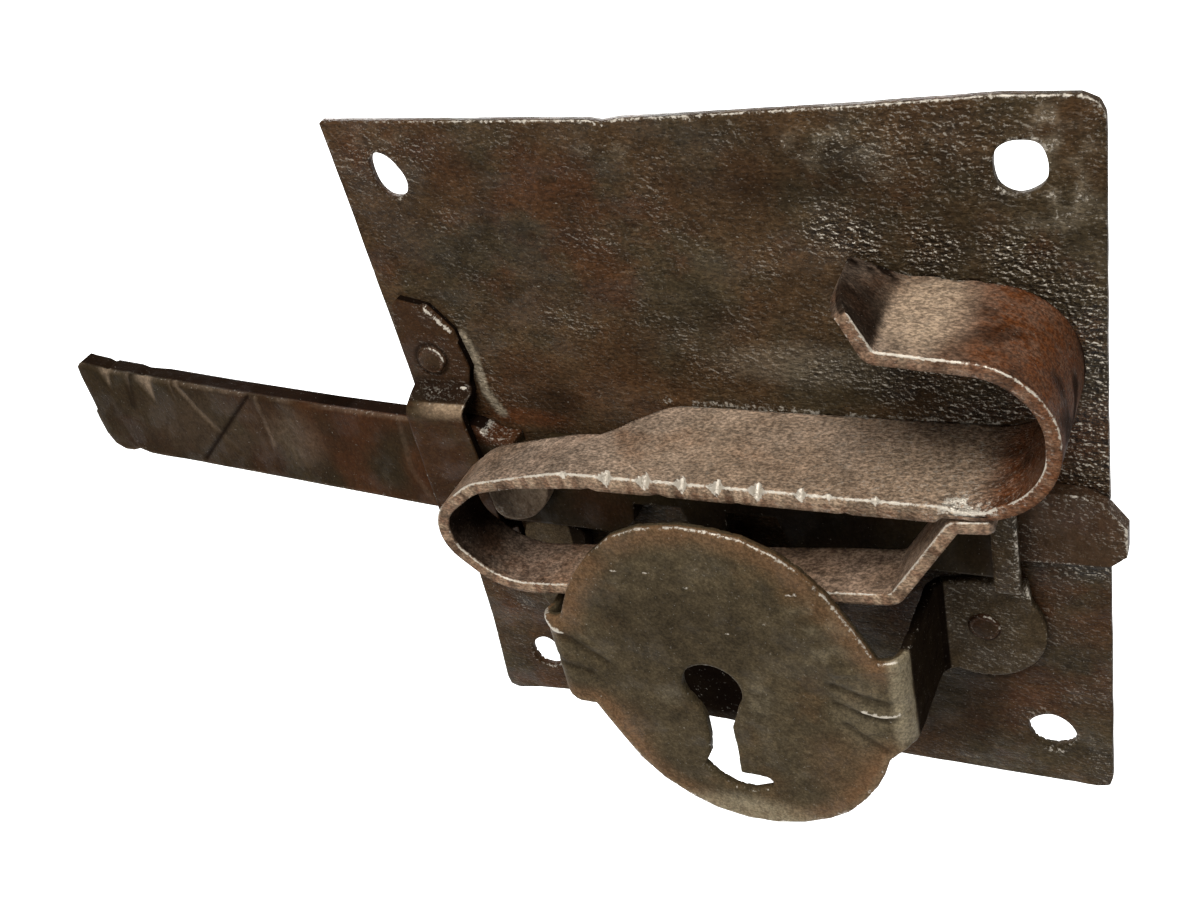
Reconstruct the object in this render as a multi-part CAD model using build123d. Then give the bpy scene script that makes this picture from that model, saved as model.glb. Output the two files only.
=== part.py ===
from build123d import *
import os

# Hand-forged plate lock for the face of a door.
# X runs along the bolt, its thrown end towards -X. Z is up.
# The lock plate's back face lies in the plane y = 0 and the works stand out towards -Y.

# Lock plate
PLATE_THICK = 2.0
PLATE_TOP_LEFT = (-70.0, 74.3)
PLATE_TOP_DIP = (-12.6, 72.8)
PLATE_TOP_RISE = (55.0, 75.0)
PLATE_TOP_RIGHT = (70.0, 74.8)
PLATE_BOTTOM_RIGHT = (70.0, -75.0)
PLATE_BOTTOM_MIDDLE = (29.0, -75.0)
PLATE_BOTTOM_LEFT = (-69.8, -72.6)
PLATE_LEFT_WAIST = (-67.9, -2.0)
CORNER_RADIUS = 2.8
FRONT = -PLATE_THICK

# Nail holes at the plate's corners
NAIL_SPACING_X = 115.0
NAIL_SPACING_Z = 123.4
NAIL_CENTRE = (0.3, 1.4)
NAIL_HOLE_RADIUS = 4.2

# Key axis and keyhole
KEY_X = 0.0
KEY_Z = -32.7
KEYHOLE_RADIUS = 6.25

# Bolt, drawn at full throw, and what one turn of the key moves it
BOLT_BACK = -2.3
BOLT_THICK = 5.0
TAIL_THICK = 3.2
TURN_TRAVEL = 20.0
BODY_TOP_LEFT = (-48.0, 6.0)
BODY_TOP_RIGHT = (51.2, 4.4)
HEAD_BEVEL = 0.7

# Notches in the bolt's lower edge that the key's bit drives, at full throw
TALON_LEFT = -20.4
TALON_RIGHT = -9.6
TALON_CEILING = -6.9

# Notches in the bolt's upper edge that the catch drops into, at full throw
CATCH_LEFT = -4.8
CATCH_RIGHT = 1.4
CATCH_FLOOR = 3.1

# Stop on the bolt's face that meets the staple at full throw
STOP_LEFT = -51.6
STOP_RIGHT = -37.2
STOP_TOP = 1.0
STOP_BOTTOM = -11.4
STOP_THICK = 3.6
STOP_TENON = 4.0

# Sheet that the staple and the key cover are bent from
SHEET = 2.0
BRIDGE_Y = -8.6
BEND_RADIUS = 1.7

# Left staple
STAPLE_LEFT = -66.6
STAPLE_RIGHT = -52.0
STAPLE_UPPER_END = 37.3
STAPLE_LOWER_END = -34.0
STAPLE_UPPER_BEND = (16.5, 13.6)
STAPLE_LOWER_BEND = (-18.9, -16.0)

# Key cover
COVER_BACK = -28.0
COVER_OUTLINE = [
    (0.0, 7.8), (12.0, 6.4), (22.0, 0.0), (30.0, -12.0), (33.6, -24.0), (34.3, -36.0), (32.5, -49.0),
    (26.0, -60.5), (14.0, -68.4), (2.0, -70.4), (-10.0, -66.6), (-20.0, -57.0), (-26.0, -43.5),
    (-29.8, -30.0), (-29.0, -17.0), (-23.0, -6.0), (-13.0, 4.4)]
STRAP_TOP = -20.8
STRAP_BOTTOM = -43.8
LEG_LEFT_X = -33.8
LEG_RIGHT_X = 38.0
COVER_BEND_RADIUS = 3.2
RIGHT_FOOT_CENTRE = (46.3, -33.0)
RIGHT_FOOT_RADIUS = 12.4
LEFT_FOOT_END = -51.0
LEFT_FOOT_TOP = -17.2
LEFT_FOOT_BOTTOM = -45.0
LEFT_FOOT_CORNER = 5.0

# Guide tongue that the cover's right foot sends up over the bolt's tail
TONGUE_LEFT = 50.6
TONGUE_RIGHT = 55.2
TONGUE_THICK = 1.8

# Spring and tumbler strip
STRIP_FRONT = -25.5
STRIP_BACK = -2.4
STRIP_THICK = 2.4
LOOP_BACK = -13.0
RUN_UNDERSIDE = 11.1
TOE_TOP_LIMIT = 12.05
ARM_START = (38.6, 43.1)
LIP_AT_FRONT = [(39.8, 44.2), (38.0, 41.9), (33.1, 50.4), (35.3, 51.4)]
LIP_AT_BACK = [(39.0, 44.3), (38.6, 41.9), (28.2, 45.4), (28.8, 47.7)]
HINGE_X = 45.7
HINGE_Z = 42.4
TENON_LENGTH = 3.0
TENON_OFFSET = 3.3
TENON_CLEARANCE = 0.6

# Catch lug under the strip
LUG_LEFT = -5.0
LUG_RIGHT = -1.0
LUG_FRONT = -7.0
LUG_BACK = -3.0
LUG_BOTTOM = 6.25
LUG_TENON = 2.4
LUG_TENON_TOP = 13.4

# Ward ring around the key axis
WARD_RADIUS = 13.3
WARD_THICK = 1.4
WARD_FRONT = -11.0

# Rivets
SHANK_RADIUS = 2.0
HEAD_RADIUS = 3.2
HEAD_HEIGHT = 0.9
TAIL_RADIUS = 3.0
TAIL_DEPTH = 1.0
LEFT_UPPER_RIVET = (-60.3, 23.2)
LEFT_LOWER_RIVET = (-60.0, -25.6)
COVER_LEFT_RIVET = (-43.0, -32.2)
COVER_RIGHT_RIVET = (47.1, -32.2)

# Rough half size of a block that trims away what lies outside a part
FAR = 200.0


def slab(face, y_back, y_front):
    """Thicken a face drawn in x and z into a plate from y_back to y_front."""
    placed = Plane.XZ.offset(-y_back) * face
    return extrude(placed, y_back - y_front)


def upright(face, z_low, z_high):
    """Raise a face drawn in x and y from z_low to z_high."""
    return extrude(Plane.XY.offset(z_low) * face, z_high - z_low)


def across(face, x_left, x_right):
    """Thicken a face drawn in y and z from x_left to x_right."""
    return extrude(Plane.YZ.offset(x_left) * face, x_right - x_left)


def block(x0, x1, y0, y1, z0, z1):
    middle = Pos((x0 + x1) / 2, (y0 + y1) / 2, (z0 + z1) / 2)
    return middle * Box(x1 - x0, y1 - y0, z1 - z0)


def rod(x, z, radius, y_back, y_front):
    return slab(Pos(x, z) * Circle(radius), y_back, y_front)


def ribbon(points, radii, width):
    """Flat band of even width along a path with rounded corners."""
    return trace(FilletPolyline(*points, radius=radii), line_width=width)


def nail_places():
    half_x = NAIL_SPACING_X / 2
    half_z = NAIL_SPACING_Z / 2
    cx, cz = NAIL_CENTRE
    return [(cx + i * half_x, cz + j * half_z) for i in (-1, 1) for j in (-1, 1)]


def rivet(place, seat):
    """Rivet with a low dome on seat and its tail spread flush with the plate's back."""
    shank = Polyline((0, seat - HEAD_HEIGHT), (0, 0), (TAIL_RADIUS, 0), (SHANK_RADIUS, -TAIL_DEPTH),
                     (SHANK_RADIUS, seat), (HEAD_RADIUS, seat))
    dome = TangentArc((0, seat - HEAD_HEIGHT), (HEAD_RADIUS, seat), tangent=(1, 0))
    return Pos(place[0], 0, place[1]) * revolve(make_face(shank + dome), axis=Axis.Y)


def rivets():
    seat = FRONT - SHEET
    return {
        "left_staple_upper_rivet": rivet(LEFT_UPPER_RIVET, seat),
        "left_staple_lower_rivet": rivet(LEFT_LOWER_RIVET, seat),
        "cover_left_foot_rivet": rivet(COVER_LEFT_RIVET, seat),
        "cover_right_foot_rivet": rivet(COVER_RIGHT_RIVET, seat),
    }


def anchor_tenons(clearance):
    """Two tongues on the strip's fixed arm that stand in slots through the plate."""
    made = []
    for side in (-1, 1):
        x = HINGE_X + side * TENON_OFFSET
        half_x = TENON_LENGTH / 2 + clearance
        half_z = STRIP_THICK / 2 - 0.1 + clearance
        z = HINGE_Z - side * 0.3
        made.append(block(x - half_x, x + half_x, STRIP_BACK - 0.5, -0.2 + clearance, z - half_z, z + half_z))
    return made


def lock_plate(fixings, ward):
    with BuildSketch() as outline:
        with BuildLine():
            Line(PLATE_TOP_LEFT, PLATE_TOP_DIP)
            Line(PLATE_TOP_DIP, PLATE_TOP_RISE)
            Line(PLATE_TOP_RISE, PLATE_TOP_RIGHT)
            Line(PLATE_TOP_RIGHT, PLATE_BOTTOM_RIGHT)
            Line(PLATE_BOTTOM_RIGHT, PLATE_BOTTOM_MIDDLE)
            Line(PLATE_BOTTOM_MIDDLE, PLATE_BOTTOM_LEFT)
            ThreePointArc(PLATE_BOTTOM_LEFT, PLATE_LEFT_WAIST, PLATE_TOP_LEFT)
        make_face()
        corners = outline.vertices().group_by(Axis.X)
        fillet(corners[-1] + outline.vertices().sort_by_distance((*PLATE_BOTTOM_LEFT, 0))[:1], CORNER_RADIUS)
    plate = slab(outline.sketch, 0, FRONT)
    for x, z in nail_places():
        plate -= rod(x, z, NAIL_HOLE_RADIUS, 1, FRONT - 1)
    plate -= slab(keyhole(), 1, FRONT - 1)
    for tenon in anchor_tenons(TENON_CLEARANCE):
        plate -= tenon
    for piece in fixings:
        plate -= piece
    return plate - ward


def body_top(x):
    """Height of the bolt's upper edge, which falls evenly from the head to the tail."""
    (x0, z0), (x1, z1) = BODY_TOP_LEFT, BODY_TOP_RIGHT
    return z0 + (z1 - z0) * (x - x0) / (x1 - x0)


def catch_notches():
    """Three notches, for the bolt full out, half out and drawn back."""
    points = []
    for turn in (2, 1, 0):
        left = CATCH_LEFT - turn * TURN_TRAVEL
        right = CATCH_RIGHT - turn * TURN_TRAVEL
        points += [(left, body_top(left)), (left, CATCH_FLOOR), (right, CATCH_FLOOR), (right, body_top(right))]
    return points


def talon_notches():
    """Two notches for the key's bit, their sides flared, read from right to left."""
    points = []
    for turn in (1, 0):
        left = TALON_LEFT + turn * TURN_TRAVEL
        right = TALON_RIGHT + turn * TURN_TRAVEL
        edge = -15.2 - turn * 0.5
        points += [(right + 1.6, edge), (right - 0.6, TALON_CEILING), (left, TALON_CEILING),
                   (left - 0.8, -11.6), (left - 3.6, edge + 0.3)]
    return points


def bolt(fixings):
    """Flat bar: head rising to the left, notched body with a stop, and drawn-down tail."""
    front = BOLT_BACK - BOLT_THICK
    foot = (-160.6, -4.8)
    crown = (-157.2, 19.3)
    outline = Polyline(
        crown, (-131.0, 15.5), (-87.9, 11.4), (-53.4, 8.8), BODY_TOP_LEFT, *catch_notches(),
        BODY_TOP_RIGHT, (51.2, -16.3), *talon_notches(), (-52.0, -14.6), (-93.6, -10.6), foot,
        close=True)
    bar = make_face(outline)
    bar = fillet(bar.vertices().sort_by_distance((*foot, 0))[0], 4.0)
    bar = fillet(bar.vertices().sort_by_distance((*crown, 0))[0], 1.5)
    made = slab(bar, BOLT_BACK, front)
    arrises = made.edges().filter_by_position(Axis.Y, front, front)
    top_arrises = arrises.filter_by(lambda e: e.center().X < -60 and e.center().Z > 9 and e.length > 8)
    made = chamfer(top_arrises, HEAD_BEVEL)
    tail = make_face(Polyline(
        (50.0, 3.1), (65.9, 2.9), (70.2, 0.6), (73.4, -4.0), (73.2, -10.0), (70.4, -12.7), (50.0, -13.2),
        close=True))
    made += slab(tail, BOLT_BACK, BOLT_BACK - TAIL_THICK)
    for piece in fixings:
        made -= piece
    return made


def bolt_stop():
    """Forged stop on the bolt's face, its tenon through the bolt and flush behind."""
    seat = BOLT_BACK - BOLT_THICK
    outline = Polyline(
        (STOP_LEFT, STOP_TOP), (STOP_RIGHT, STOP_TOP), (STOP_RIGHT, -6.0), (-41.0, -9.6),
        (-45.0, STOP_BOTTOM), (STOP_LEFT, STOP_BOTTOM), close=True)
    face = make_face(outline)
    face = fillet(face.vertices().sort_by_distance((STOP_LEFT, STOP_BOTTOM, 0))[0], 3.0)
    made = slab(face, seat, seat - STOP_THICK)
    x = (STOP_LEFT + STOP_RIGHT) / 2
    z = (STOP_TOP + STOP_BOTTOM) / 2
    half = STOP_TENON / 2
    return made + block(x - half, x + half, seat - 0.5, BOLT_BACK, z - half, z + half)


def wing_trim(x, z, radius, side):
    """What lies outside a wing's half-round end, beyond its centre in z."""
    z0, z1 = (z, z + FAR) if side > 0 else (z - FAR, z)
    beyond = block(x - FAR, x + FAR, FRONT - SHEET - 1, FRONT + 1, z0, z1)
    return beyond - rod(x, z, radius, FRONT + 2, FRONT - SHEET - 2)


def left_staple(fixings):
    """Sheet bridge over the bolt, with a rivetted wing above and below."""
    wing_y = FRONT - SHEET / 2
    path = [
        (wing_y, STAPLE_UPPER_END), (wing_y, STAPLE_UPPER_BEND[0]), (BRIDGE_Y, STAPLE_UPPER_BEND[1]),
        (BRIDGE_Y, STAPLE_LOWER_BEND[1]), (wing_y, STAPLE_LOWER_BEND[0]), (wing_y, STAPLE_LOWER_END)]
    made = across(ribbon(path, BEND_RADIUS, SHEET), STAPLE_LEFT, STAPLE_RIGHT)
    x = (STAPLE_LEFT + STAPLE_RIGHT) / 2
    radius = (STAPLE_RIGHT - STAPLE_LEFT) / 2
    made -= wing_trim(x, STAPLE_UPPER_END - radius, radius, 1)
    made -= wing_trim(x, STAPLE_LOWER_END + radius, radius, -1)
    for piece in fixings:
        made -= piece
    return made


def keyhole():
    """Round hole for the shank over a slot that ends in a boot for the bit."""
    with BuildSketch() as made:
        with Locations((KEY_X, KEY_Z)):
            Circle(KEYHOLE_RADIUS)
        with BuildLine():
            Polyline((4.6, -36.9), (2.6, -42.0), (2.4, -56.1), (8.2, -56.3))
            ThreePointArc((8.2, -56.3), (8.7, -58.4), (7.2, -60.4))
            ThreePointArc((7.2, -60.4), (0.6, -60.8), (-5.6, -55.6))
            Polyline((-5.6, -55.6), (-3.0, -49.0), (-2.7, -41.2), (-4.6, -36.9), (4.6, -36.9))
        make_face()
    return made.sketch


def guide_tongue():
    """Narrow tongue from the right foot over the bolt's tail and back into the plate."""
    foot_y = FRONT - SHEET / 2
    path = [(foot_y, -26.0), (foot_y, -20.2), (BRIDGE_Y, -17.7), (BRIDGE_Y, 6.9), (-4.6, 8.6), (-0.6, 8.6)]
    return across(ribbon(path, 1.2, TONGUE_THICK), TONGUE_LEFT, TONGUE_RIGHT)


def feet():
    """Round right foot and squarish left foot, flat on the lock plate."""
    bend_end = COVER_BEND_RADIUS + SHEET / 2
    right = Pos(*RIGHT_FOOT_CENTRE) * Circle(RIGHT_FOOT_RADIUS)
    right -= Pos(LEG_RIGHT_X + bend_end - FAR / 2, 0) * Rectangle(FAR, FAR)
    left_width = LEG_LEFT_X - bend_end - LEFT_FOOT_END
    left_height = LEFT_FOOT_TOP - LEFT_FOOT_BOTTOM
    left = Rectangle(left_width, left_height)
    left = fillet(left.vertices().group_by(Axis.X)[0], LEFT_FOOT_CORNER)
    left = Pos(LEFT_FOOT_END + left_width / 2, (LEFT_FOOT_TOP + LEFT_FOOT_BOTTOM) / 2) * left
    return slab(right, FRONT, FRONT - SHEET) + slab(left, FRONT, FRONT - SHEET)


def key_cover(fixings):
    """Oval cover plate in front of the works, on two legs with rivetted feet."""
    cover_y = COVER_BACK - SHEET / 2
    foot_y = FRONT - SHEET / 2
    path = [
        (LEFT_FOOT_END + LEFT_FOOT_CORNER, foot_y), (LEG_LEFT_X, foot_y), (LEG_LEFT_X, cover_y),
        (LEG_RIGHT_X, cover_y), (LEG_RIGHT_X, foot_y), (RIGHT_FOOT_CENTRE[0], foot_y)]
    made = upright(ribbon(path, COVER_BEND_RADIUS, SHEET), STRAP_BOTTOM, STRAP_TOP)
    made += feet()
    disc = make_face(Spline(*COVER_OUTLINE, periodic=True))
    made += slab(disc, COVER_BACK, COVER_BACK - SHEET)
    made -= slab(keyhole(), COVER_BACK + 1, COVER_BACK - SHEET - 1)
    made += guide_tongue()
    for piece in fixings:
        made -= piece
    return made


def strip_outline():
    """Side view of the strip: fixed arm, right bend, long run, left bend, lower run, leg and toe."""
    points = [
        ARM_START, (65.2, 40.7), (65.2, 13.4), (-24.0, 13.3), (-44.2, 8.5), (-53.7, 1.0),
        (-53.7, -7.2), (-43.8, -16.7), (37.2, -7.6), (48.6, 10.2), (55.2, 10.7)]
    radii = [13.6, 13.6, 30.0, 12.0, 8.0, 8.0, 8.0, 3.0, 1.4]
    band = ribbon(points, radii, STRIP_THICK)
    thickening = make_face(Polyline(
        (-30.0, 11.8), (-21.0, RUN_UNDERSIDE), (38.0, RUN_UNDERSIDE), (47.0, 12.6), (40.0, 13.0), (-24.0, 13.2),
        close=True))
    return band + thickening


def lip():
    """End of the fixed arm, turned up steeply at the front and only a little at the plate."""
    front = Plane.XZ.offset(-STRIP_FRONT) * make_face(Polyline(*LIP_AT_FRONT, close=True))
    back = Plane.XZ.offset(-STRIP_BACK) * make_face(Polyline(*LIP_AT_BACK, close=True))
    return loft([front, back], ruled=True)


def spring_tumbler(lug):
    made = slab(strip_outline(), STRIP_BACK, STRIP_FRONT) + lip()
    narrowing = make_face(Polyline(
        (-70.0, LOOP_BACK), (-20.0, LOOP_BACK), (-8.5, STRIP_BACK), (-8.5, 1.0), (-70.0, 1.0), close=True))
    made -= upright(narrowing, -30, 20)
    made -= block(-24.0, 60.0, LOOP_BACK, 1.0, -30.0, RUN_UNDERSIDE - 0.1)
    made -= block(44.5, 60.0, LOOP_BACK, 1.0, -30.0, TOE_TOP_LIMIT)
    for tenon in anchor_tenons(0):
        made += tenon
    return made - lug


def catch_lug():
    """Square lug under the strip that drops into the bolt's notches, its tenon blind in the strip."""
    x = (LUG_LEFT + LUG_RIGHT) / 2
    y = (LUG_BACK + LUG_FRONT) / 2
    half = LUG_TENON / 2
    made = block(LUG_LEFT, LUG_RIGHT, LUG_FRONT, LUG_BACK, LUG_BOTTOM, RUN_UNDERSIDE)
    return made + block(x - half, x + half, y - half, y + half, RUN_UNDERSIDE, LUG_TENON_TOP)


def ward_ring():
    """Open ring of strip on the plate around the key, with two tenons through the plate."""
    ring = Circle(WARD_RADIUS + WARD_THICK / 2) - Circle(WARD_RADIUS - WARD_THICK / 2)
    gap = Pos(0, -WARD_RADIUS) * Rectangle(WARD_RADIUS, WARD_RADIUS)
    made = slab(Pos(KEY_X, KEY_Z) * (ring - gap), FRONT, WARD_FRONT)
    for side in (-1, 1):
        x = KEY_X + side * WARD_RADIUS
        half = WARD_THICK / 2 - 0.1
        made += block(x - half, x + half, FRONT - 0.5, 0, KEY_Z - 1.5, KEY_Z + 1.5)
    return made


def save(name, shape):
    export_step(shape, f"parts/{name}.step")


os.makedirs("parts", exist_ok=True)
fasteners = rivets()
ward = ward_ring()
lug = catch_lug()
stop = bolt_stop()
staple_rivets = [fasteners["left_staple_upper_rivet"], fasteners["left_staple_lower_rivet"]]
cover_rivets = [fasteners["cover_left_foot_rivet"], fasteners["cover_right_foot_rivet"]]
cover = key_cover(cover_rivets)
save("lock_plate", lock_plate([*fasteners.values(), cover], ward))
save("bolt", bolt([stop]))
save("bolt_stop", stop)
save("left_staple", left_staple(staple_rivets))
save("key_cover", cover)
save("spring_tumbler", spring_tumbler(lug))
save("catch_lug", lug)
save("ward_ring", ward)
for name, shape in fasteners.items():
    save(name, shape)
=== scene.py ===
import bmesh
import bpy
import math
import numpy as np
from mathutils import Matrix, Vector, noise


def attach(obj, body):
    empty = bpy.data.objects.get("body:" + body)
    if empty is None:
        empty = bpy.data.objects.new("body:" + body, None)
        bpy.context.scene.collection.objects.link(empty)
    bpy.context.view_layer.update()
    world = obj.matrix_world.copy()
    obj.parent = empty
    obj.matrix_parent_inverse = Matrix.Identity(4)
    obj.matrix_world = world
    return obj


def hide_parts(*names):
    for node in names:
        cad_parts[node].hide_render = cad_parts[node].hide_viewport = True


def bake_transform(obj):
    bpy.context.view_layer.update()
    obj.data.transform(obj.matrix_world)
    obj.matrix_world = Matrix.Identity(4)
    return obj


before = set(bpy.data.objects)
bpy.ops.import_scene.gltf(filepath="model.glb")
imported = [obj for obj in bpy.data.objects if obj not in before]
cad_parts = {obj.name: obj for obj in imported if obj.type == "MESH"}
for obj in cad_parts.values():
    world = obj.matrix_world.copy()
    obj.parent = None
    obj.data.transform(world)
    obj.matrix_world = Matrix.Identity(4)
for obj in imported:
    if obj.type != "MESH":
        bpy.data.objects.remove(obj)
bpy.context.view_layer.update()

# Shapes are worked out in millimetres, X along the bolt, Z up, the plate's back in y = 0.
MM = 0.001

# Where the faces of the pieces and the middles of the bent sheets lie in y
PLATE_FRONT = -2.0
BOLT_BACK = -2.3
BOLT_FRONT = -7.3
TAIL_FRONT = -5.5
SHEET = 2.0
WING_MIDDLE = PLATE_FRONT - SHEET / 2
BRIDGE_MIDDLE = -8.6
COVER_MIDDLE = -29.0
STRIP_FRONT = -25.5
STRIP_BACK = -2.4
STRIP_REAR = STRIP_BACK + 0.1
LOOP_BACK = -13.0

# Colours of the iron, as linear light
DARK = (0.005, 0.003, 0.002)
RUST = (0.11, 0.032, 0.009)
TAN = (0.23, 0.16, 0.1)
MAUVE = (0.15, 0.107, 0.077)
# Bare worn iron, also used for painted glints and highlights
WEAR_AND_GLINT = (0.36, 0.32, 0.26)
WHITE = (1, 1, 1)

EVEN = (1, 1, 1)


# Outlines and distances

def arc(centre, radius, start_deg, end_deg, count):
    """Points on an arc, angles counted from +X towards +Z."""
    angles = np.radians(np.linspace(start_deg, end_deg, count))
    return [(centre[0] + radius * math.cos(a), centre[1] + radius * math.sin(a)) for a in angles]


def smooth(points, per):
    """Closed Catmull-Rom curve through the points."""
    p = np.array(points, float)
    out = []
    for i in range(len(p)):
        a, b, c, d = (p[(i + k) % len(p)] for k in (-1, 0, 1, 2))
        for t in np.arange(per) / per:
            out.append(0.5 * (2 * b + (c - a) * t + (2 * a - 5 * b + 4 * c - d) * t * t
                              + (3 * b - a - 3 * c + d) * t ** 3))
    return [tuple(q) for q in out]


def rounded(points, radii, step=0.4):
    """Dense points along a polyline whose inner corners are rounded to the radii."""
    p = [np.array(q, float) for q in points]
    out = [p[0]]
    for i, radius in enumerate(radii):
        before = (p[i] - p[i + 1]) / np.linalg.norm(p[i] - p[i + 1])
        after = (p[i + 2] - p[i + 1]) / np.linalg.norm(p[i + 2] - p[i + 1])
        half = math.acos(np.clip(before @ after, -1, 1)) / 2
        reach = radius / math.tan(half)
        middle = (before + after) / np.linalg.norm(before + after)
        centre = p[i + 1] + middle * radius / math.sin(half)
        start, end = p[i + 1] + before * reach - centre, p[i + 1] + after * reach - centre
        turn = math.pi - 2 * half
        count = max(3, int(turn * radius / step))
        for t in np.linspace(0, 1, count + 1):
            mix = (math.sin((1 - t) * turn) * start + math.sin(t * turn) * end) / math.sin(turn)
            out.append(centre + mix)
    out.append(p[-1])
    return np.array(out)


def arc_lengths(path):
    return np.concatenate([[0], np.cumsum(np.linalg.norm(np.diff(path, axis=0), axis=1))])


def normals_at(path, s):
    """Unit normals to the left of a path in the plane, at distances s along it."""
    lengths = arc_lengths(path)
    tangents = np.gradient(path, lengths, axis=0)
    t = np.stack([np.interp(s, lengths, tangents[:, k]) for k in (0, 1)], 1)
    t /= np.linalg.norm(t, axis=1)[:, None]
    return np.stack([-t[:, 1], t[:, 0]], 1)


def along(path, s, w):
    """Points at distance s along a path, w to the left of it, with straight runs past its ends."""
    lengths = arc_lengths(path)
    at = np.stack([np.interp(s, lengths, path[:, k]) for k in (0, 1)], 1)
    n = normals_at(path, s)
    beyond = np.minimum(s, 0) + np.maximum(s - lengths[-1], 0)
    t = np.stack([n[:, 1], -n[:, 0]], 1)
    return at + t * beyond[:, None] + n * w[:, None]


def nearest(q, loops, closed=True):
    """Distance of each point from the nearest of some polylines in the plane, and the nearest place on it."""
    best, place = np.full(len(q), 1e9), q.copy()
    for loop in loops:
        p = np.array(loop, float)
        ends = np.roll(p, -1, axis=0) if closed else p[1:]
        for a, b in zip(p if closed else p[:-1], ends):
            d = b - a
            t = np.clip(((q - a) @ d) / max(d @ d, 1e-9), 0, 1)
            foot = a + t[:, None] * d
            distance = np.hypot(*(q - foot).T)
            closer = distance < best
            best[closer], place[closer] = distance[closer], foot[closer]
    return best, place


def from_line(q, points):
    """Distance of each point from an open polyline in the plane."""
    return nearest(q, [points], False)[0]


def ramp(x, low, high):
    """0 at low and 1 at high, softly in between. Low may be the larger number."""
    t = np.clip((x - low) / (high - low), 0, 1)
    return t * t * (3 - 2 * t)


def fade(x, low, high):
    return 1 - ramp(x, low, high)


def bell(x, width):
    """1 at x = 0, falling off like a bell to both sides."""
    return np.exp(-(x / width) ** 2)


def spot(q, centre, radius):
    """1 at the centre of a soft spot and 0 past its radius. Radius may be a pair."""
    d = (q - np.array(centre)) / np.array(radius)
    return fade(np.linalg.norm(d, axis=1), 0.35, 1)


def spots(q, rows):
    """Sum of soft spots, each given as strength, centre in x and z, and radius in x and z."""
    return sum(strength * spot(q, (x, z), (wide, high)) for strength, x, z, wide, high in rows)


def grain(co, size, seed=0, stretch=EVEN):
    """Smooth noise from -1 to 1 at each point, its blobs about size millimetres wide."""
    q = co / (size * np.array(stretch, float)) + seed * 17.3
    return np.array([noise.noise(Vector(v)) for v in q])


def patchy(co, size, seed, low, high, stretch=EVEN):
    """Patches of noise: 0 where it is below low and 1 where it is above high."""
    return ramp(grain(co, size, seed, stretch), low, high)


# Making meshes

WELD = 1e-4
SLIVER = 0.02


def linked(name, data):
    """New object in the scene."""
    obj = bpy.data.objects.new(name, data)
    bpy.context.scene.collection.objects.link(obj)
    return obj


def slab(name, outline, holes, y_back, y_front, voxel):
    """Flat plate with holes, cut from an outline in x and z, as an even mesh with sharp arrises."""
    curve = bpy.data.curves.new(name + "_cut", "CURVE")
    curve.dimensions = "2D"
    curve.fill_mode = "BOTH"
    curve.extrude = abs(y_back - y_front) / 2
    for loop in [outline, *holes]:
        spline = curve.splines.new("POLY")
        spline.points.add(len(loop) - 1)
        for point, (x, z) in zip(spline.points, loop):
            point.co = (x, z, 0, 1)
        spline.use_cyclic_u = True
    cut = linked(name + "_cut", curve)
    mesh = bpy.data.meshes.new_from_object(cut)
    bpy.data.objects.remove(cut)
    bpy.data.curves.remove(curve)
    middle = Matrix.Translation((0, (y_back + y_front) / 2, 0))
    mesh.transform(middle @ Matrix.Rotation(math.pi / 2, 4, "X"))
    obj = remeshed(name, mesh, voxel)
    sharpen(obj, [outline, *holes], y_back, y_front, voxel)
    return obj


def sharpen(obj, loops, y_back, y_front, voxel):
    """Moves the mesh's outer rows exactly onto the cut line and the two faces."""
    co = points_of(obj)
    distance, place = nearest(co[:, [0, 2]], loops)
    on_wall = distance < 0.55 * voxel
    co[on_wall, 0], co[on_wall, 2] = place[on_wall, 0], place[on_wall, 1]
    for face in (y_back, y_front):
        on_face = np.abs(co[:, 1] - face) < 0.55 * voxel
        co[on_face, 1] = face
    set_points(obj, co)


def arris(border, depth, width=0.45):
    """1 on the edge between a face and the cut wall, from the distances to the wall and the face."""
    return fade(np.maximum(border, depth), 0.2 * width, width)


def remeshed(name, mesh, voxel):
    """Rebuilds a closed mesh as small even quads and returns its object."""
    edited(mesh, weld)
    obj = linked(name, mesh)
    modifier = obj.modifiers.new("even", "REMESH")
    modifier.mode = "VOXEL"
    modifier.voxel_size = voxel
    graph = bpy.context.evaluated_depsgraph_get()
    dense = bpy.data.meshes.new_from_object(obj.evaluated_get(graph))
    obj.modifiers.clear()
    obj.data = dense
    dense.name = name
    return obj


def edited(mesh, step, rounds=1):
    """Repeats a step of mesh editing and turns every face outwards."""
    bm = bmesh.new()
    bm.from_mesh(mesh)
    for _ in range(rounds):
        step(bm)
    bmesh.ops.recalc_face_normals(bm, faces=bm.faces)
    bm.to_mesh(mesh)
    bm.free()


def weld(bm, reach=WELD):
    bmesh.ops.remove_doubles(bm, verts=bm.verts, dist=reach)


def clean(bm):
    """Takes out faces that have shrunk to a line."""
    weld(bm, SLIVER)
    bmesh.ops.dissolve_degenerate(bm, dist=SLIVER, edges=bm.edges)


def relax(bm):
    """Smooths the small steps that the even mesh leaves along slanted edges."""
    axes = dict(use_axis_x=True, use_axis_y=True, use_axis_z=True)
    bmesh.ops.smooth_vert(bm, verts=bm.verts, factor=0.5, **axes)


def points_of(obj):
    co = np.empty(len(obj.data.vertices) * 3)
    obj.data.vertices.foreach_get("co", co)
    return co.reshape(-1, 3)


def set_points(obj, co):
    obj.data.vertices.foreach_set("co", co.ravel())
    obj.data.update()


def measured(co, loops, y_back, y_front):
    """Each point's x and z, place for noise, share of the thickness, depth and distance from the cut."""
    flat = co[:, [0, 2]]
    share = np.clip((co[:, 1] - y_back) / (y_front - y_back), 0, 1)
    return flat, co * (1, 0, 1), share, co[:, 1] - y_front, nearest(flat, loops)[0]


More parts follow.
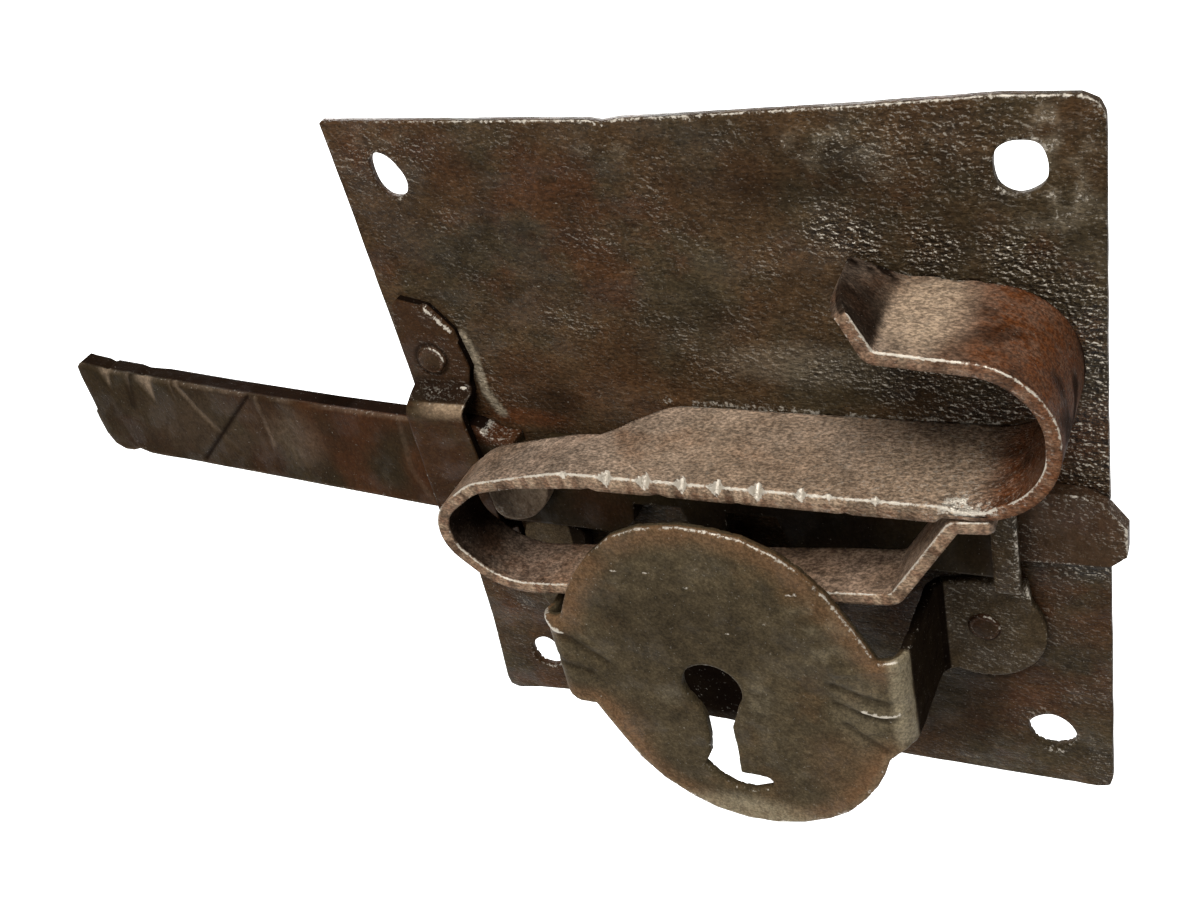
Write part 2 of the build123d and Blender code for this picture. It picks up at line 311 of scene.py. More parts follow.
def paint(obj, *layers):
    """Stores how worn, pale, dark, rusty and glossy each point is, for the piece's material. Some of it is
    painted light: glints and highlights in the worn, pale and gloss layers, and shade in the dark layer.
    """
    for name, values in zip(("wear_and_glint", "pale", "dark", "rust", "gloss_and_glint"), layers):
        values = np.clip(values + np.zeros(len(obj.data.vertices)), 0, 1)
        attribute = obj.data.attributes.new(name, "FLOAT", "POINT")
        attribute.data.foreach_set("value", values.astype(np.float32))


def coat(data, material):
    data.materials.clear()
    data.materials.append(material)


def finished(obj, body, slot, material, *nodes):
    """Scales a piece to metres, gives it its body and material, and hides the model's nodes that it stands
    for; its slot is not used.
    """
    edited(obj.data, clean, 2)
    obj.data.transform(Matrix.Scale(MM, 4))
    obj.data.shade_smooth()
    coat(obj.data, material)
    if body is not None:
        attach(obj, body)
    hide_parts(*nodes)
    return obj


# Materials

class Tree:
    """Short way to write shader nodes."""

    def __init__(self, tree):
        self.nodes = tree.nodes
        self.links = tree.links
        self.nodes.clear()

    def add(self, kind, **values):
        node = self.nodes.new(kind)
        for key, value in values.items():
            setattr(node, key, value)
        return node

    def put(self, socket, value):
        if isinstance(value, bpy.types.NodeSocket):
            self.links.new(value, socket)
        elif socket.type == "RGBA":
            socket.default_value = (*value, 1)
        else:
            socket.default_value = value

    def made(self, kind, *inputs, **values):
        """Adds a node, fills its first inputs in order and returns its first output."""
        node = self.add(kind, **values)
        for socket, value in zip(node.inputs, inputs):
            self.put(socket, value)
        return node.outputs[0]

    def noise(self, size, detail, rough, stretch=EVEN, shift=0, moved=(0, 0, 0)):
        """Noise whose blobs are about size millimetres wide, moved by a share of that size."""
        place = self.add("ShaderNodeTexCoord").outputs["Object"]
        start = [shift * k + m for k, m in zip((1, 0.7, 1.3), moved)]
        scale = [1 / (size * MM * k) for k in stretch]
        mapped = self.made("ShaderNodeMapping", place, start, (0, 0, 0), scale)
        return self.made("ShaderNodeTexNoise", mapped, 0, 1, detail, rough)

    def math(self, operation, a, b=0, c=0):
        return self.made("ShaderNodeMath", a, b, c, operation=operation)

    def times(self, a, b):
        return self.math("MULTIPLY", a, b)

    def between(self, value, low, high, to_low=0, to_high=1):
        limits = low, high, to_low, to_high
        return self.made("ShaderNodeMapRange", value, *limits, interpolation_type="SMOOTHSTEP")

    def scaled(self, colour, factor):
        node = self.add("ShaderNodeVectorMath", operation="SCALE")
        self.put(node.inputs[0], colour)
        self.put(node.inputs["Scale"], factor)
        return node.outputs[0]

    def mix(self, share, a, b):
        node = self.add("ShaderNodeMix", data_type="RGBA")
        self.put(node.inputs["Factor"], share)
        self.put(node.inputs["A"], a)
        self.put(node.inputs["B"], b)
        return node.outputs["Result"]

    def layer(self, name):
        return self.add("ShaderNodeAttribute", attribute_name=name).outputs["Fac"]

    def bump(self, height, distance, strength, under):
        node = self.add("ShaderNodeBump")
        node.inputs["Distance"].default_value = distance * MM
        self.put(node.inputs["Strength"], strength)
        self.put(node.inputs["Height"], height)
        if under is not None:
            self.put(node.inputs["Normal"], under)
        return node.outputs[0]


def new_material(name):
    """Empty material, and its nodes to fill."""
    material = bpy.data.materials.new(name)
    material.use_nodes = True
    return material, Tree(material.node_tree)


def iron(name, main, second, patch, patch_size, streak=EVEN, speckle=0.3, relief=0.4, sheen=0.1, pale_to=TAN,
         rust_to=RUST, glints=0.3, shift=0):
    """Old forged iron: browns in clouds, red patches, grit, pits, painted glints and ripple shade, and worn
    bright arrises.
    """
    material, t = new_material(name)

    def streaked(size, detail, rough, more):
        return t.noise(size, detail, rough, streak, shift + more)

    dull = t.math("SUBTRACT", 1, t.layer("dark"))
    gloss_and_glint = t.times(t.layer("gloss_and_glint"), dull)
    cloud = t.noise(24, 4, 0.6, shift=shift)
    colour = t.mix(t.between(cloud, 0.4, 0.6), main, second)
    patches = t.noise(patch_size, 5, 0.65, shift=shift + 4)
    colour = t.mix(t.times(t.between(patches, 0.52, 0.66), 0.8), colour, patch)
    middle = streaked(5, 4, 0.65, 7)
    colour = t.scaled(colour, t.between(middle, 0.32, 0.68, 1 - 0.5 * speckle, 1 + 0.55 * speckle))
    mottle = streaked(1.4, 4, 0.75, 9)
    colour = t.scaled(colour, t.between(mottle, 0.34, 0.66, 1 - 0.45 * speckle, 1 + 0.5 * speckle))
    colour = t.mix(t.times(t.layer("rust"), t.between(mottle, 0.35, 0.6, 0.6, 1)), colour, rust_to)
    colour = t.mix(t.times(t.layer("pale"), t.between(mottle, 0.3, 0.62, 0.5, 1.1)), colour, pale_to)
    fine = streaked(0.45, 2, 0.6, 13)
    colour = t.scaled(colour, t.between(fine, 0.34, 0.7, 1 - 0.6 * speckle, 1 + 0.8 * speckle))
    colour = t.mix(t.times(t.layer("dark"), t.between(middle, 0.3, 0.6, 1, 0.95)), colour, DARK)

    # Painted light and shade: where the gloss layer is set, the flank of each ripple that looks to the upper
    # right is painted bright and the other one is painted dark
    lumps = dict(detail=3, rough=0.62, stretch=(1.5, 1, 1), shift=shift + 51)
    ripples = t.noise(0.85, **lumps)
    slope = t.math("SUBTRACT", ripples, t.noise(0.85, moved=(0.16, -0.08, 0.24), **lumps))
    shade = t.times(t.between(slope, -0.01, -0.09), t.times(gloss_and_glint, 0.85))
    colour = t.mix(shade, colour, DARK)
    lit = t.times(t.between(slope, 0.05, 0.15, 0, 0.95), gloss_and_glint)

    # Worn arrises, and painted glints: the lit ripple flanks and sparse bright flecks
    spread = t.math("MULTIPLY_ADD", t.layer("wear_and_glint"), 0.5, t.noise(0.75, 3, 0.7, shift=shift + 21))
    flecks = t.between(streaked(0.5, 2, 0.6, 31), 0.69, 0.79)
    bright = t.math("MAXIMUM", lit, t.times(flecks, glints))
    wear_and_glint = t.math("MAXIMUM", t.between(spread, 0.66, 0.86, 0, 0.92), bright)
    wet = t.between(streaked(8, 3, 0.6, 41), 0.45, 0.65)
    shine = t.math("MULTIPLY_ADD", gloss_and_glint, 0.06, t.times(t.between(wet, 0, 1, 0.35 * sheen, sheen), dull))
    pits = t.between(streaked(0.8, 3, 0.6, 17), 0.48, 0.3)
    normal = None
    for height, distance, strength in ((pits, -0.2, relief), (fine, 0.12, relief), (mottle, 0.3, relief),
                                       (ripples, 0.8, gloss_and_glint)):
        normal = t.bump(height, distance, strength, normal)

    shader = t.add("ShaderNodeBsdfPrincipled")
    for name, value in (("Base Color", t.mix(wear_and_glint, colour, WEAR_AND_GLINT)), ("Metallic", t.times(wear_and_glint, 0.5)),
                        ("Specular IOR Level", t.math("MULTIPLY_ADD", wear_and_glint, 0.4, shine)),
                        ("Roughness", t.math("MULTIPLY_ADD", gloss_and_glint, -0.14, t.between(wet, 0, 1, 0.54, 0.44))),
                        ("Normal", normal)):
        t.put(shader.inputs[name], value)
    t.put(t.add("ShaderNodeOutputMaterial").inputs["Surface"], shader.outputs[0])
    return material


PLATE_IRON = iron(
    "plate_iron", (0.041, 0.023, 0.0104), (0.033, 0.0232, 0.0118), (0.043, 0.018, 0.007), 26,
    streak=(1.7, 1, 1), speckle=0.45, relief=0.75, sheen=0.065, pale_to=(0.215, 0.174, 0.12), glints=0.4,
    shift=1
)
BOLT_IRON = iron(
    "bolt_iron", (0.02, 0.0135, 0.0062), (0.019, 0.011, 0.005), (0.021, 0.0085, 0.003), 30,
    streak=(1, 1, 1.4), speckle=0.25, relief=0.35, sheen=0.04, pale_to=(0.24, 0.175, 0.12),
    rust_to=(0.06, 0.02, 0.007), glints=0.1, shift=2
)
STRIP_IRON = iron(
    "strip_iron", MAUVE, (0.108, 0.07, 0.046), (0.086, 0.042, 0.022), 22, streak=(1.6, 1.2, 1), speckle=0.7,
    relief=0.6, sheen=0.05, pale_to=(0.27, 0.193, 0.128), rust_to=(0.08, 0.026, 0.0085), glints=0.35,
    shift=3
)
COVER_IRON = iron(
    "cover_iron", (0.047, 0.035, 0.019), (0.04, 0.0295, 0.0158), (0.052, 0.032, 0.015), 26, speckle=0.42,
    relief=0.25, sheen=0.04, pale_to=(0.19, 0.156, 0.1), rust_to=(0.112, 0.06, 0.029), glints=0.3, shift=4
)
STAPLE_IRON = iron(
    "staple_iron", (0.026, 0.014, 0.0065), (0.022, 0.0105, 0.0045), (0.028, 0.02, 0.01), 12,
    streak=(1.3, 1, 1), speckle=0.32, relief=0.4, sheen=0.06, rust_to=(0.04, 0.016, 0.0055), shift=5
)
RIVET_IRON = iron(
    "rivet_iron", (0.032, 0.018, 0.009), (0.028, 0.016, 0.008), (0.03, 0.013, 0.006), 8, speckle=0.3,
    sheen=0.05, shift=6
)
# The ward ring is painted near black, as the shade inside the lock
WARD_IRON = iron(
    "ward_iron", DARK, (0.012, 0.008, 0.005), (0.01, 0.005, 0.003), 12, sheen=0.01, glints=0, shift=7
)


# Keyhole, shared by the key cover and the plate

KEY_Z = -32.7
KEYHOLE = (arc((0, KEY_Z), 6.25, 218, -38, 30)
           + [(4.4, -38.4), (2.7, -42.8), (2.6, -50), (2.4, -56.1), (7.6, -56.3)]
           + arc((7.2, -58), 1.8, 70, -60, 6)
           + [(4.4, -61.2), (0.4, -60.8), (-3, -58.7), (-5.4, -55.6), (-3.6, -52), (-2.8, -47), (-2.7, -41.6),
              (-3.4, -39.2)])


# Lock plate

NAIL_HOLES = [
    [(-61.6, 66.2), (-59.2, 67.9), (-56.6, 66.4), (-54.7, 62.9), (-55, 60), (-57.2, 58.6), (-59.8, 59),
     (-61.6, 61.6)],
    [(53.2, 63.8), (54, 60), (57.2, 58.4), (60.8, 60.2), (61.6, 63.6), (60.3, 67.1), (56.6, 67.7),
     (54, 66.4)],
    [(53.8, -60.5), (55, -57.8), (58.2, -56.2), (61.2, -57.4), (63.2, -60.6), (62.4, -63.6), (58.8, -65.4),
     (55.4, -64.4)],
    [(-60.2, -59.8), (-58.3, -56.3), (-55.4, -55), (-52.8, -57.2), (-52.6, -61.4), (-54.8, -64.2),
     (-58.6, -63.8)],
]
PLATE_OUTLINE = [
    (-70, 74.3), (-69.2, 55), (-68.5, 28), (-68, 0), (-67.8, -28), (-68.3, -50), (-69.8, -70.5),
    (-69.4, -72.8), (-67.4, -73.6), (-60.5, -72.4), (-53, -71.7), (-28, -72.5), (0, -73.8), (28.9, -75),
    (47.5, -75), (67, -75.1), (69.4, -74.4), (70, -72), (70, -20), (69.8, 20), (70, 68),
    (69.9, 71.4), (69, 73.4), (66.5, 74.6), (55, 75), (32, 74), (13.7, 73.5), (-9, 73), (-12, 72.5),
    (-15, 73), (-41, 73.6)]
ARM_TENONS = [(42.4, 42.7), (49, 42.1)]
TENON_SLOTS = [[(x - 1.7, z - 1.5), (x + 1.7, z - 1.5), (x + 1.7, z + 1.3), (x - 1.7, z + 1.3)]
               for x, z in ARM_TENONS]
# Ends of rivets and tenons that show at the back, and how far each reaches
BACK_ENDS = [
    ((-60.3, 23.2), 3), ((-60, -25.6), 3), ((-43, -32.2), 3), ((47.1, -32.2), 3), ((-13.3, -32.7), 1),
    ((13.3, -32.7), 1)
]
SUNK = 0.08
# A pale band on the plate along the right edge of the staple's wing
PALE_BAND = [(-52.7, 28.4), (-51.7, 25.8), (-51.4, 22), (-51.3, 18), (-51, 14.5), (-49.8, 12), (-48.4, 9.4)]
# Line above the arm and down the plate's right side: less rough, with painted ripple glints
GLINT_RIDGE = [
    (26, 53), (36, 50), (46, 48.5), (56, 48), (63, 44), (67.6, 36), (68, 12), (67, -14)
]
BEHIND_RUN = [(-11, 15.2), (8, 15), (28.8, 14.4), (52, 14.6)]

# Soft spots of the plate's paint
PLATE_PATCHES = [
    (1, 63, 66, 9, 12), (0.7, 63, 56, 8, 6), (0.8, 27, 67, 13, 5), (0.6, 38, 63, 7, 3),
    (0.5, -12, 67, 9, 3), (0.4, -60, 71, 14, 3)
]
PLATE_GLOSS_AND_GLINT = [
    (1.3, 46, 21, 20, 11), (0.35, 45, 66, 26, 12), (0.3, 64, 0, 12, 40), (0.3, -58, 66, 16, 10),
    (0.25, 17, 25, 22, 6)
]
# Painted shade on the plate: round the strip, its loop and U, beside the cover's leg, behind the keyhole, and
# in darker spots towards the top and corners
PLATE_SHADE = [
    (0.1, 46, 21, 20, 11), (0.4, -6, 2, 50, 10), (0.6, 48, -34, 15, 22), (0.5, 40, -58, 18, 16),
    (0.5, -50, -12, 14, 10), (0.25, -4, 35, 17, 6), (1.2, -14, -60, 20, 20), (0.36, -40, 14, 16, 12),
    (0.28, -48, 52, 34, 26), (0.15, 0, 62, 40, 14), (0.14, 64, -30, 12, 50), (0.2, 44, 58, 24, 12),
    (0.2, -56, -62, 14, 12), (0.3, 20, 62, 22, 9), (0.3, -34, 13, 12, 5), (0.25, -15, 24, 12, 6)
]
PLATE_RUST = [(0.35, -42, 9, 12, 3), (0.22, -38, 16, 20, 14)]


def lock_plate():
    holes = [smooth(h, 5) for h in NAIL_HOLES]
    obj = slab("hammered_plate", PLATE_OUTLINE, [*holes, KEYHOLE, *TENON_SLOTS], 0, PLATE_FRONT, 0.66)
    co = points_of(obj)
    flat, ground, share, depth, border = measured(co, [PLATE_OUTLINE, KEYHOLE], 0, PLATE_FRONT)
    from_hole = nearest(flat, holes)[0]
    border = np.minimum(border, from_hole)
    hammer = 0.15 * grain(ground, 19, 1) + 0.06 * grain(ground, 7, 2, (1.6, 1, 1))
    pits = np.maximum(0, grain(ground, 2.4, 3, (1.8, 1, 1)) - 0.28) * 0.22
    thin = 0.3 * fade(border, 0, 6)
    burr = -0.25 * bell(from_hole - 0.7, 0.6) * patchy(ground, 5, 4, -0.3, 0.3)
    co[:, 1] += share * (hammer + pits + thin + burr)
    co[:, 1] = np.minimum(co[:, 1], 0)

    # The back is sunk a little round the ends of rivets and tenons
    for centre, reach in BACK_ENDS:
        away = np.hypot(*(flat - np.array(centre)).T)
        co[:, 1] -= SUNK * fade(away, reach + 0.6, reach + 1.6) * (share < 0.3)
    ripple = (border < 2) * 0.07
    co[:, 0] += ripple * grain(ground, 6, 5)
    co[:, 2] += ripple * grain(ground, 6, 6)
    set_points(obj, co)
    plate_paint(obj, flat, ground, share, depth, border, from_hole)
    return finished(obj, "plate", "plate_iron", PLATE_IRON, "lock_plate")


def plate_paint(obj, flat, ground, share, depth, border, from_hole):
    x, z = flat.T
    top = ramp(z, 68, 73)
    edge = arris(border, depth, 0.6) * np.maximum(patchy(ground, 11, 7, -0.5, 0.3), 0.9 * top)
    wear_and_glint = edge * (0.2 + 0.45 * top * ramp(x, -72, -30))
    wear_and_glint += arris(from_hole, depth, 1) * 0.4 * ramp(-grain(ground, 6, 8), -0.2, 0.4)
    patches = spots(flat, PLATE_PATCHES) * patchy(ground, 3.2, 9, -0.25, 0.35)
    # Pale patches, a painted highlight on a nail hole's lower rim, and painted glints along the plate behind
    # the run and inside the strip's U
    wear_and_glint += 0.34 * patches + 0.45 * spot(flat, (59, -66.3), (4, 1.1))
    wear_and_glint += 0.46 * fade(from_line(flat, BEHIND_RUN), 0.2, 1.4) * patchy(ground, 5, 10, -0.5, 0.1)
    wear_and_glint += 0.3 * spot(flat, (46, 21), (16, 8)) * patchy(ground, 2, 15, 0.12, 0.42, (1.8, 1, 1))
    band = fade(from_line(flat, PALE_BAND), 0.7, 1.4) * ramp(z, 8, 10)
    wear_and_glint += 0.1 * band
    gloss_and_glint = 0.1 + spots(flat, PLATE_GLOSS_AND_GLINT) + 0.8 * fade(from_line(flat, GLINT_RIDGE), 1.5, 8)
    gloss_and_glint = (gloss_and_glint + 0.25 * patchy(ground, 9, 13, 0.1, 0.5)) * patchy(ground, 6, 11, -0.9, 0.1)
    rust = (spots(flat, PLATE_RUST) + 0.16 * patchy(ground, 15, 12, 0.05, 0.6)) * (1 - band)
    dark = spots(flat, PLATE_SHADE) * (1 - band)
    pale = band + 0.35 * patches + 0.25 * spot(flat, (17, 25), (22, 6))
    face = ramp(share, 0.3, 0.7)
    back = (1 - face) * 0.25 * patchy(ground, 12, 14, -0.2, 0.5)
    wear_and_glint = wear_and_glint * face + 0.2 * edge * (1 - face)
    paint(obj, wear_and_glint, pale * face, dark * face, rust * face + back, gloss_and_glint * face + back)


# Bolt

CATCH_NOTCH = (-4.8, 1.4)
TURN = 20.0
BODY_TOP = ((-48, 6), (51.2, 4.4))
HEAD_END = -51


def body_top(x):
    """Height of the upper edge of the bolt's body."""
    (x0, z0), (x1, z1) = BODY_TOP
    return z0 + (z1 - z0) * (x - x0) / (x1 - x0)


def bolt_outline():
    points = [(-156.6, 19), (-154.6, 18.5), (-151, 17.9), (-149.6, 17.1), (-148.4, 17.5), (-141.5, 16.7),
              (-139.8, 16), (-136.5, 15.9), (-134, 15.9), (-131, 15.6), (-116, 14), (-87.9, 11.4),
              (-68.5, 10.1), (-53.4, 8.8), BODY_TOP[0]]
    for turn in (2, 1, 0):
        left, right = (x - turn * TURN for x in CATCH_NOTCH)
        points += [(left, body_top(left)), (left, 3.1), (right, 3.1), (right, body_top(right))]
    points += [BODY_TOP[1], (51.4, 3.1), (59.9, 3.1), (65.9, 2.8), (70, 0.6), (73.3, -3.9), (73.3, -9.9),
               (70.4, -12.6), (56.2, -13.1), (51.4, -13.2), (51.2, -16.3)]
    for turn in (1, 0):
        left, right = -20.4 + turn * TURN, -9.6 + turn * TURN
        edge = -15.2 - turn * 0.5
        points += [(right + 1.6, edge), (right - 0.6, -6.9), (left, -6.9), (left - 0.8, -11.6),
                   (left - 3.6, edge + 0.3)]
    points += [
        (-52, -14.6), (-70.5, -12.9), (-93.6, -10.6), (-118, -8.2), (-136, -6.5), (-142.5, -6.1),
        (-146.5, -5.6), (-149.4, -4.5), (-151.6, -5.2), (-154.2, -5.1), (-156.6, -3.6), (-157.8, -0.6),
        (-158, 3.6), (-157.8, 9), (-157.9, 15.4), (-157.6, 18)
    ]
    return points


HEAD_CUTS = [
    ([(-109.9, 12.9), (-117.6, 5.7), (-129.9, -5.8)], 0.55, 0.42),
    ([(-108.9, 12.8), (-108.4, 5.6), (-108.9, -1.4)], 0.35, 0.2),
    ([(-107.2, 12.6), (-106.7, 6.6)], 0.35, 0.16),
    ([(-103.6, 12.2), (-104.4, 2), (-103.8, -6)], 0.35, 0.12),
    ([(-70.5, 9.9), (-71.6, -3.3), (-68.6, -12.4)], 0.45, 0.16)
]
HEAD_SCRATCH = [(-129.6, 15.2), (-126.4, 9), (-122.5, 3.1), (-118.6, -2.8)]
HEAD_DENTS = [
    ((-149.6, 17.2), (-150, 10.6), 2.2, 0.7), ((-138.4, 16.3), (-137.6, 8), 3.6, 0.9),
    ((-143.2, 16.9), (-145.2, 8.5), 1.3, 0.5), ((-131.4, 15.6), (-131, 6), 0.8, 0.3)
]


def dents(flat):
    """Depth of the wedge-shaped hammer dents that fade down the bolt's head."""
    out = np.zeros(len(flat))
    for top, tip, half_width, deep in HEAD_DENTS:
        top, tip = np.array(top), np.array(tip)
        length = np.linalg.norm(tip - top)
        axis = (tip - top) / length
        down = (flat - top) @ axis
        side = np.abs((flat - top) @ np.array([-axis[1], axis[0]]))
        left = np.clip(1 - np.maximum(down, 0) / length, 0, 1) * (down > -2.5)
        out = np.maximum(out, deep * left * np.clip(1 - side / (half_width * left + 1e-6), 0, 1))
    return out


def bolt():
    outline = bolt_outline()
    obj = slab("forged_bolt", outline, [], BOLT_BACK, BOLT_FRONT, 0.42)
    co = points_of(obj)
    flat, ground, share, depth, border = measured(co, [outline], BOLT_BACK, BOLT_FRONT)
    x, z = flat.T
    dented = dents(flat)
    lowered = dented + ramp(x, 51, 51.5) * (TAIL_FRONT - BOLT_FRONT)
    for line, width, deep in HEAD_CUTS:
        lowered += deep * bell(from_line(flat, line), width)
    scratch = from_line(flat, HEAD_SCRATCH)
    lowered += 0.3 * bell(scratch, 0.8)
    lowered += 0.09 * grain(ground, 10, 11) + 0.03 * grain(ground, 3, 12) + 0.1
    bevel = np.clip(0.7 - border, 0, 0.7) * 0.7 * ((x < HEAD_END) & (z > 6))
    co[:, 1] += share ** 2 * (lowered + bevel)
    set_points(obj, co)
    bolt_paint(obj, flat, ground, share, depth, border, dented, scratch)
    return finished(obj, "bolt", "bolt_iron", BOLT_IRON, "bolt")


def bolt_paint(obj, flat, ground, share, depth, border, dented, scratch):
    x, z = flat.T
    tail = ramp(x, 51, 51.5)
    head = x < HEAD_END
    face = share > 0.9
    edge = arris(border, np.minimum(depth, np.abs(depth - 0.4)), 0.8) * patchy(ground, 7, 14, -0.5, 0.3)
    lip = fade(from_line(flat, [(-53.4, 8.8), BODY_TOP[0]]), 0.1, 0.6)
    wear_and_glint = edge * (0.2 + 0.5 * (x > 52)) + 0.5 * lip * patchy(ground, 2, 17, -0.1, 0.3)
    top_face = head & (border < 0.35) & (share < 0.8) & (z > 5)
    reach = ramp(x, -104, -92) * fade(x, -58, -50)
    slope = spot(flat, (-49, 7.5), (10, 3.5))
    rust = 0.6 * reach * patchy(ground, 9, 15, -0.8, 0.3) + 0.25 * top_face + 0.3 * tail
    rust += 0.9 * slope + 0.25 * spot(flat, (-28, -8), (10, 8))
    # Painted shade on the flank beside one dent, on the bolt behind the left staple, and towards the right
    # inside the strip's loop; the deep cut and the head's top face are painted darker
    groove = 0.8 * bell(from_line(flat, HEAD_CUTS[0][0]), 0.6)
    beside = 0.5 * bell(from_line(flat, [(-142.6, 17.3), (-145, 8.5)]) - 0.4, 0.7)
    dark = 0.75 * top_face + (groove + beside) * face + 0.1 * ramp(x, -20, -8) * (1 - tail)
    dark += 0.1 * reach + 0.1 * head + spots(flat, [(0.5, -54, 0, 7, 14), (0.12, -88, 6, 6, 12)])
    # Painted highlights in the dents, along the raised scratch and beside two cuts, with pale patches and
    # pale arrises on the head
    highlight_and_wear = 0.55 * ramp(dented, 0.05, 0.6) + 0.3 * fade(scratch, 0.2, 0.9) * ramp(z, -4, 12)
    highlight_and_wear += spots(flat, [(0.06, -120, 4, 36, 12), (0.11, -100, 2, 9, 11)]) + 0.2 * edge * head
    highlight_and_wear += 0.14 * fade(from_line(flat, [(-107.8, 12.6), (-107.4, 0)]), 0.2, 0.8)
    highlight_and_wear += 0.1 * fade(from_line(flat, [(-71, 9.9), (-72.2, -3.3), (-69, -12.4)]), 0.3, 0.9)
    gloss_and_glint = 0.35 * tail * patchy(ground, 5, 18, -0.5, 0.3) + 0.6 * slope
    paint(obj, wear_and_glint, highlight_and_wear * face + 0.06 * tail, dark, rust, gloss_and_glint)


STOP_OUTLINE = smooth([(-51.5, 0.6), (-48, 1), (-42, 0.9), (-37.6, 0.2), (-37.2, -3.4), (-39.4, -7.4),
                       (-43.2, -10.6), (-47.4, -11.6), (-50.6, -10.6), (-51.5, -7)], 4)


def bolt_stop():
    seat = BOLT_FRONT
    obj = slab("forged_stop", STOP_OUTLINE, [], seat + 0.3, seat - 3.5, 0.35)
    edited(obj.data, relax, 6)
    co = points_of(obj)
    co += 0.16 * grain(co, 3.6, 16)[:, None]
    co[:, 1] = np.maximum(co[:, 1], seat - 3.6)
    co[:, 0] = np.maximum(co[:, 0], -51.6)
    set_points(obj, co)
    # Painted light: the stop is painted pale all over for the light it catches from the left, with a painted
    # highlight on its lower left
    lit = spot(co[:, [0, 2]], (-47, -8.4), (6, 4))
    paint(obj, 0.06 + 0.2 * lit, 0.75 + 0.25 * lit, 0, 0, 0)
    return finished(obj, "bolt", "bolt_iron", BOLT_IRON, "bolt_stop")


# Left staple, cut flat and bent over the bolt

STAPLE_PATH = rounded(
    [(WING_MIDDLE, 37.3), (WING_MIDDLE, 16.5), (BRIDGE_MIDDLE, 13.6), (BRIDGE_MIDDLE, -16),
     (WING_MIDDLE, -18.9), (WING_MIDDLE, -34)], [1.7] * 4, 0.2)
STAPLE_RIVET = (-60.2, 14)


def left_staple():
    """The strap is drawn with its upper end in z = 0 and its length s down from there."""
    total = arc_lengths(STAPLE_PATH)[-1]
    outline = [
        (-66.6, -7), (-66.2, -19), (-66.6, -24), (-66.6, -(total - 6)), (-64.5, -(total - 1.6)),
        (-59.3, -total), (-54.2, -(total - 1.6)), (-52, -(total - 6.5)), (-52.1, -44), (-52.6, -36),
        (-53.4, -27), (-53, -24.6), (-52.4, -22.6), (-53, -19.6), (-51.9, -15.9), (-53.3, -7.2),
        (-57.8, -1.6), (-64.2, 0), (-65.6, -1.4)
    ]
    obj = slab("staple_strap", outline, [], SHEET / 2, -SHEET / 2, 0.3)
    co = points_of(obj)
    flat, ground, share, depth, border = measured(co, [outline], SHEET / 2, -SHEET / 2)
    x, s = flat[:, 0], -flat[:, 1]
    chamfer = np.clip(1.3 - border, 0, 1.3) * 0.65 * ((x > -59) & (s < 9.5))
    from_rivet = np.hypot(x - STAPLE_RIVET[0], s - STAPLE_RIVET[1])
    dimple = 0.18 * bell(from_rivet - 3.7, 0.5)
    co[:, 1] += share * (chamfer + dimple + 0.1 * grain(ground, 5, 21) + 0.04 * grain(ground, 1.8, 22) + 0.06)
    bent = along(STAPLE_PATH, s, co[:, 1])
    co = np.stack([x + 0.08 * grain(ground, 5, 23), bent[:, 0], bent[:, 1]], 1)
    co[:, 1] = np.minimum(co[:, 1], PLATE_FRONT)
    set_points(obj, co)
    face = share > 0.6
    # The cut walls and a ring round the rivet get painted shade; a highlight along the chamfer and spots of
    # light on the bend are painted on
    wall = (border < 0.12) & (share < 0.75)
    chamfer_line = from_line(np.stack([x, s], 1), [(-58.4, 2.2), (-54, 7.4)])
    wear_and_glint = arris(border, depth, 0.6) * 0.2 * patchy(ground, 4, 24, -0.4, 0.2)
    wear_and_glint += face * 0.7 * fade(chamfer_line, 0.15, 0.5)
    wear_and_glint += face * spots(flat, [(0.8, -54.4, -21.2, 1.3, 1), (0.2, -60, -22.4, 6, 1.6)])
    wear_and_glint += 0.3 * face * fade(np.abs(s - 25.6), 0.15, 0.55) * ramp(x, -66, -58)
    dark = 0.65 * ramp(s, 17.5, 20.5) * fade(s, 24.6, 25.4) + 0.25 * ramp(s, 40, 46) + wall
    dark += 0.7 * bell(from_rivet - 3.6, 0.5)
    rust = 0.45 * ramp(s, 26.5, 29.5) * fade(s, 52, 58) + 0.3 * (s < 18)
    pale = 0.9 * ramp(s, 25, 25.5) * fade(s, 25.8, 28.5) * ramp(x, -66, -58)
    gloss_and_glint = 0.45 * ramp(s, 18, 20) * fade(s, 24, 25.5) + 0.22 * (s < 18) * patchy(ground, 4, 27, -0.3, 0.4)
    paint(obj, wear_and_glint, pale * face, dark, rust, gloss_and_glint)
    return finished(obj, "plate", "staple_iron", STAPLE_IRON, "left_staple")


# Key cover: disc, ears, legs, feet and tongue, cut flat in one piece and bent

LEG_LEFT_X = -33.8
LEG_RIGHT_X = 38.0
FRONT_BEND = 3.4
FOOT_BEND = 4.0
COVER_PATH = rounded(
    [(-58, WING_MIDDLE), (LEG_LEFT_X, WING_MIDDLE), (LEG_LEFT_X, COVER_MIDDLE), (LEG_RIGHT_X, COVER_MIDDLE),
     (LEG_RIGHT_X, WING_MIDDLE), (66, WING_MIDDLE)], [FOOT_BEND, FRONT_BEND, FRONT_BEND, FOOT_BEND], 0.2)


def cover_start():
    """Distance along the cover's path at which it crosses x = 0 on its front."""
    lengths = arc_lengths(COVER_PATH)
    front = COVER_PATH[:, 1] < COVER_MIDDLE + 0.01
    return float(np.interp(0, COVER_PATH[front, 0], lengths[front]))


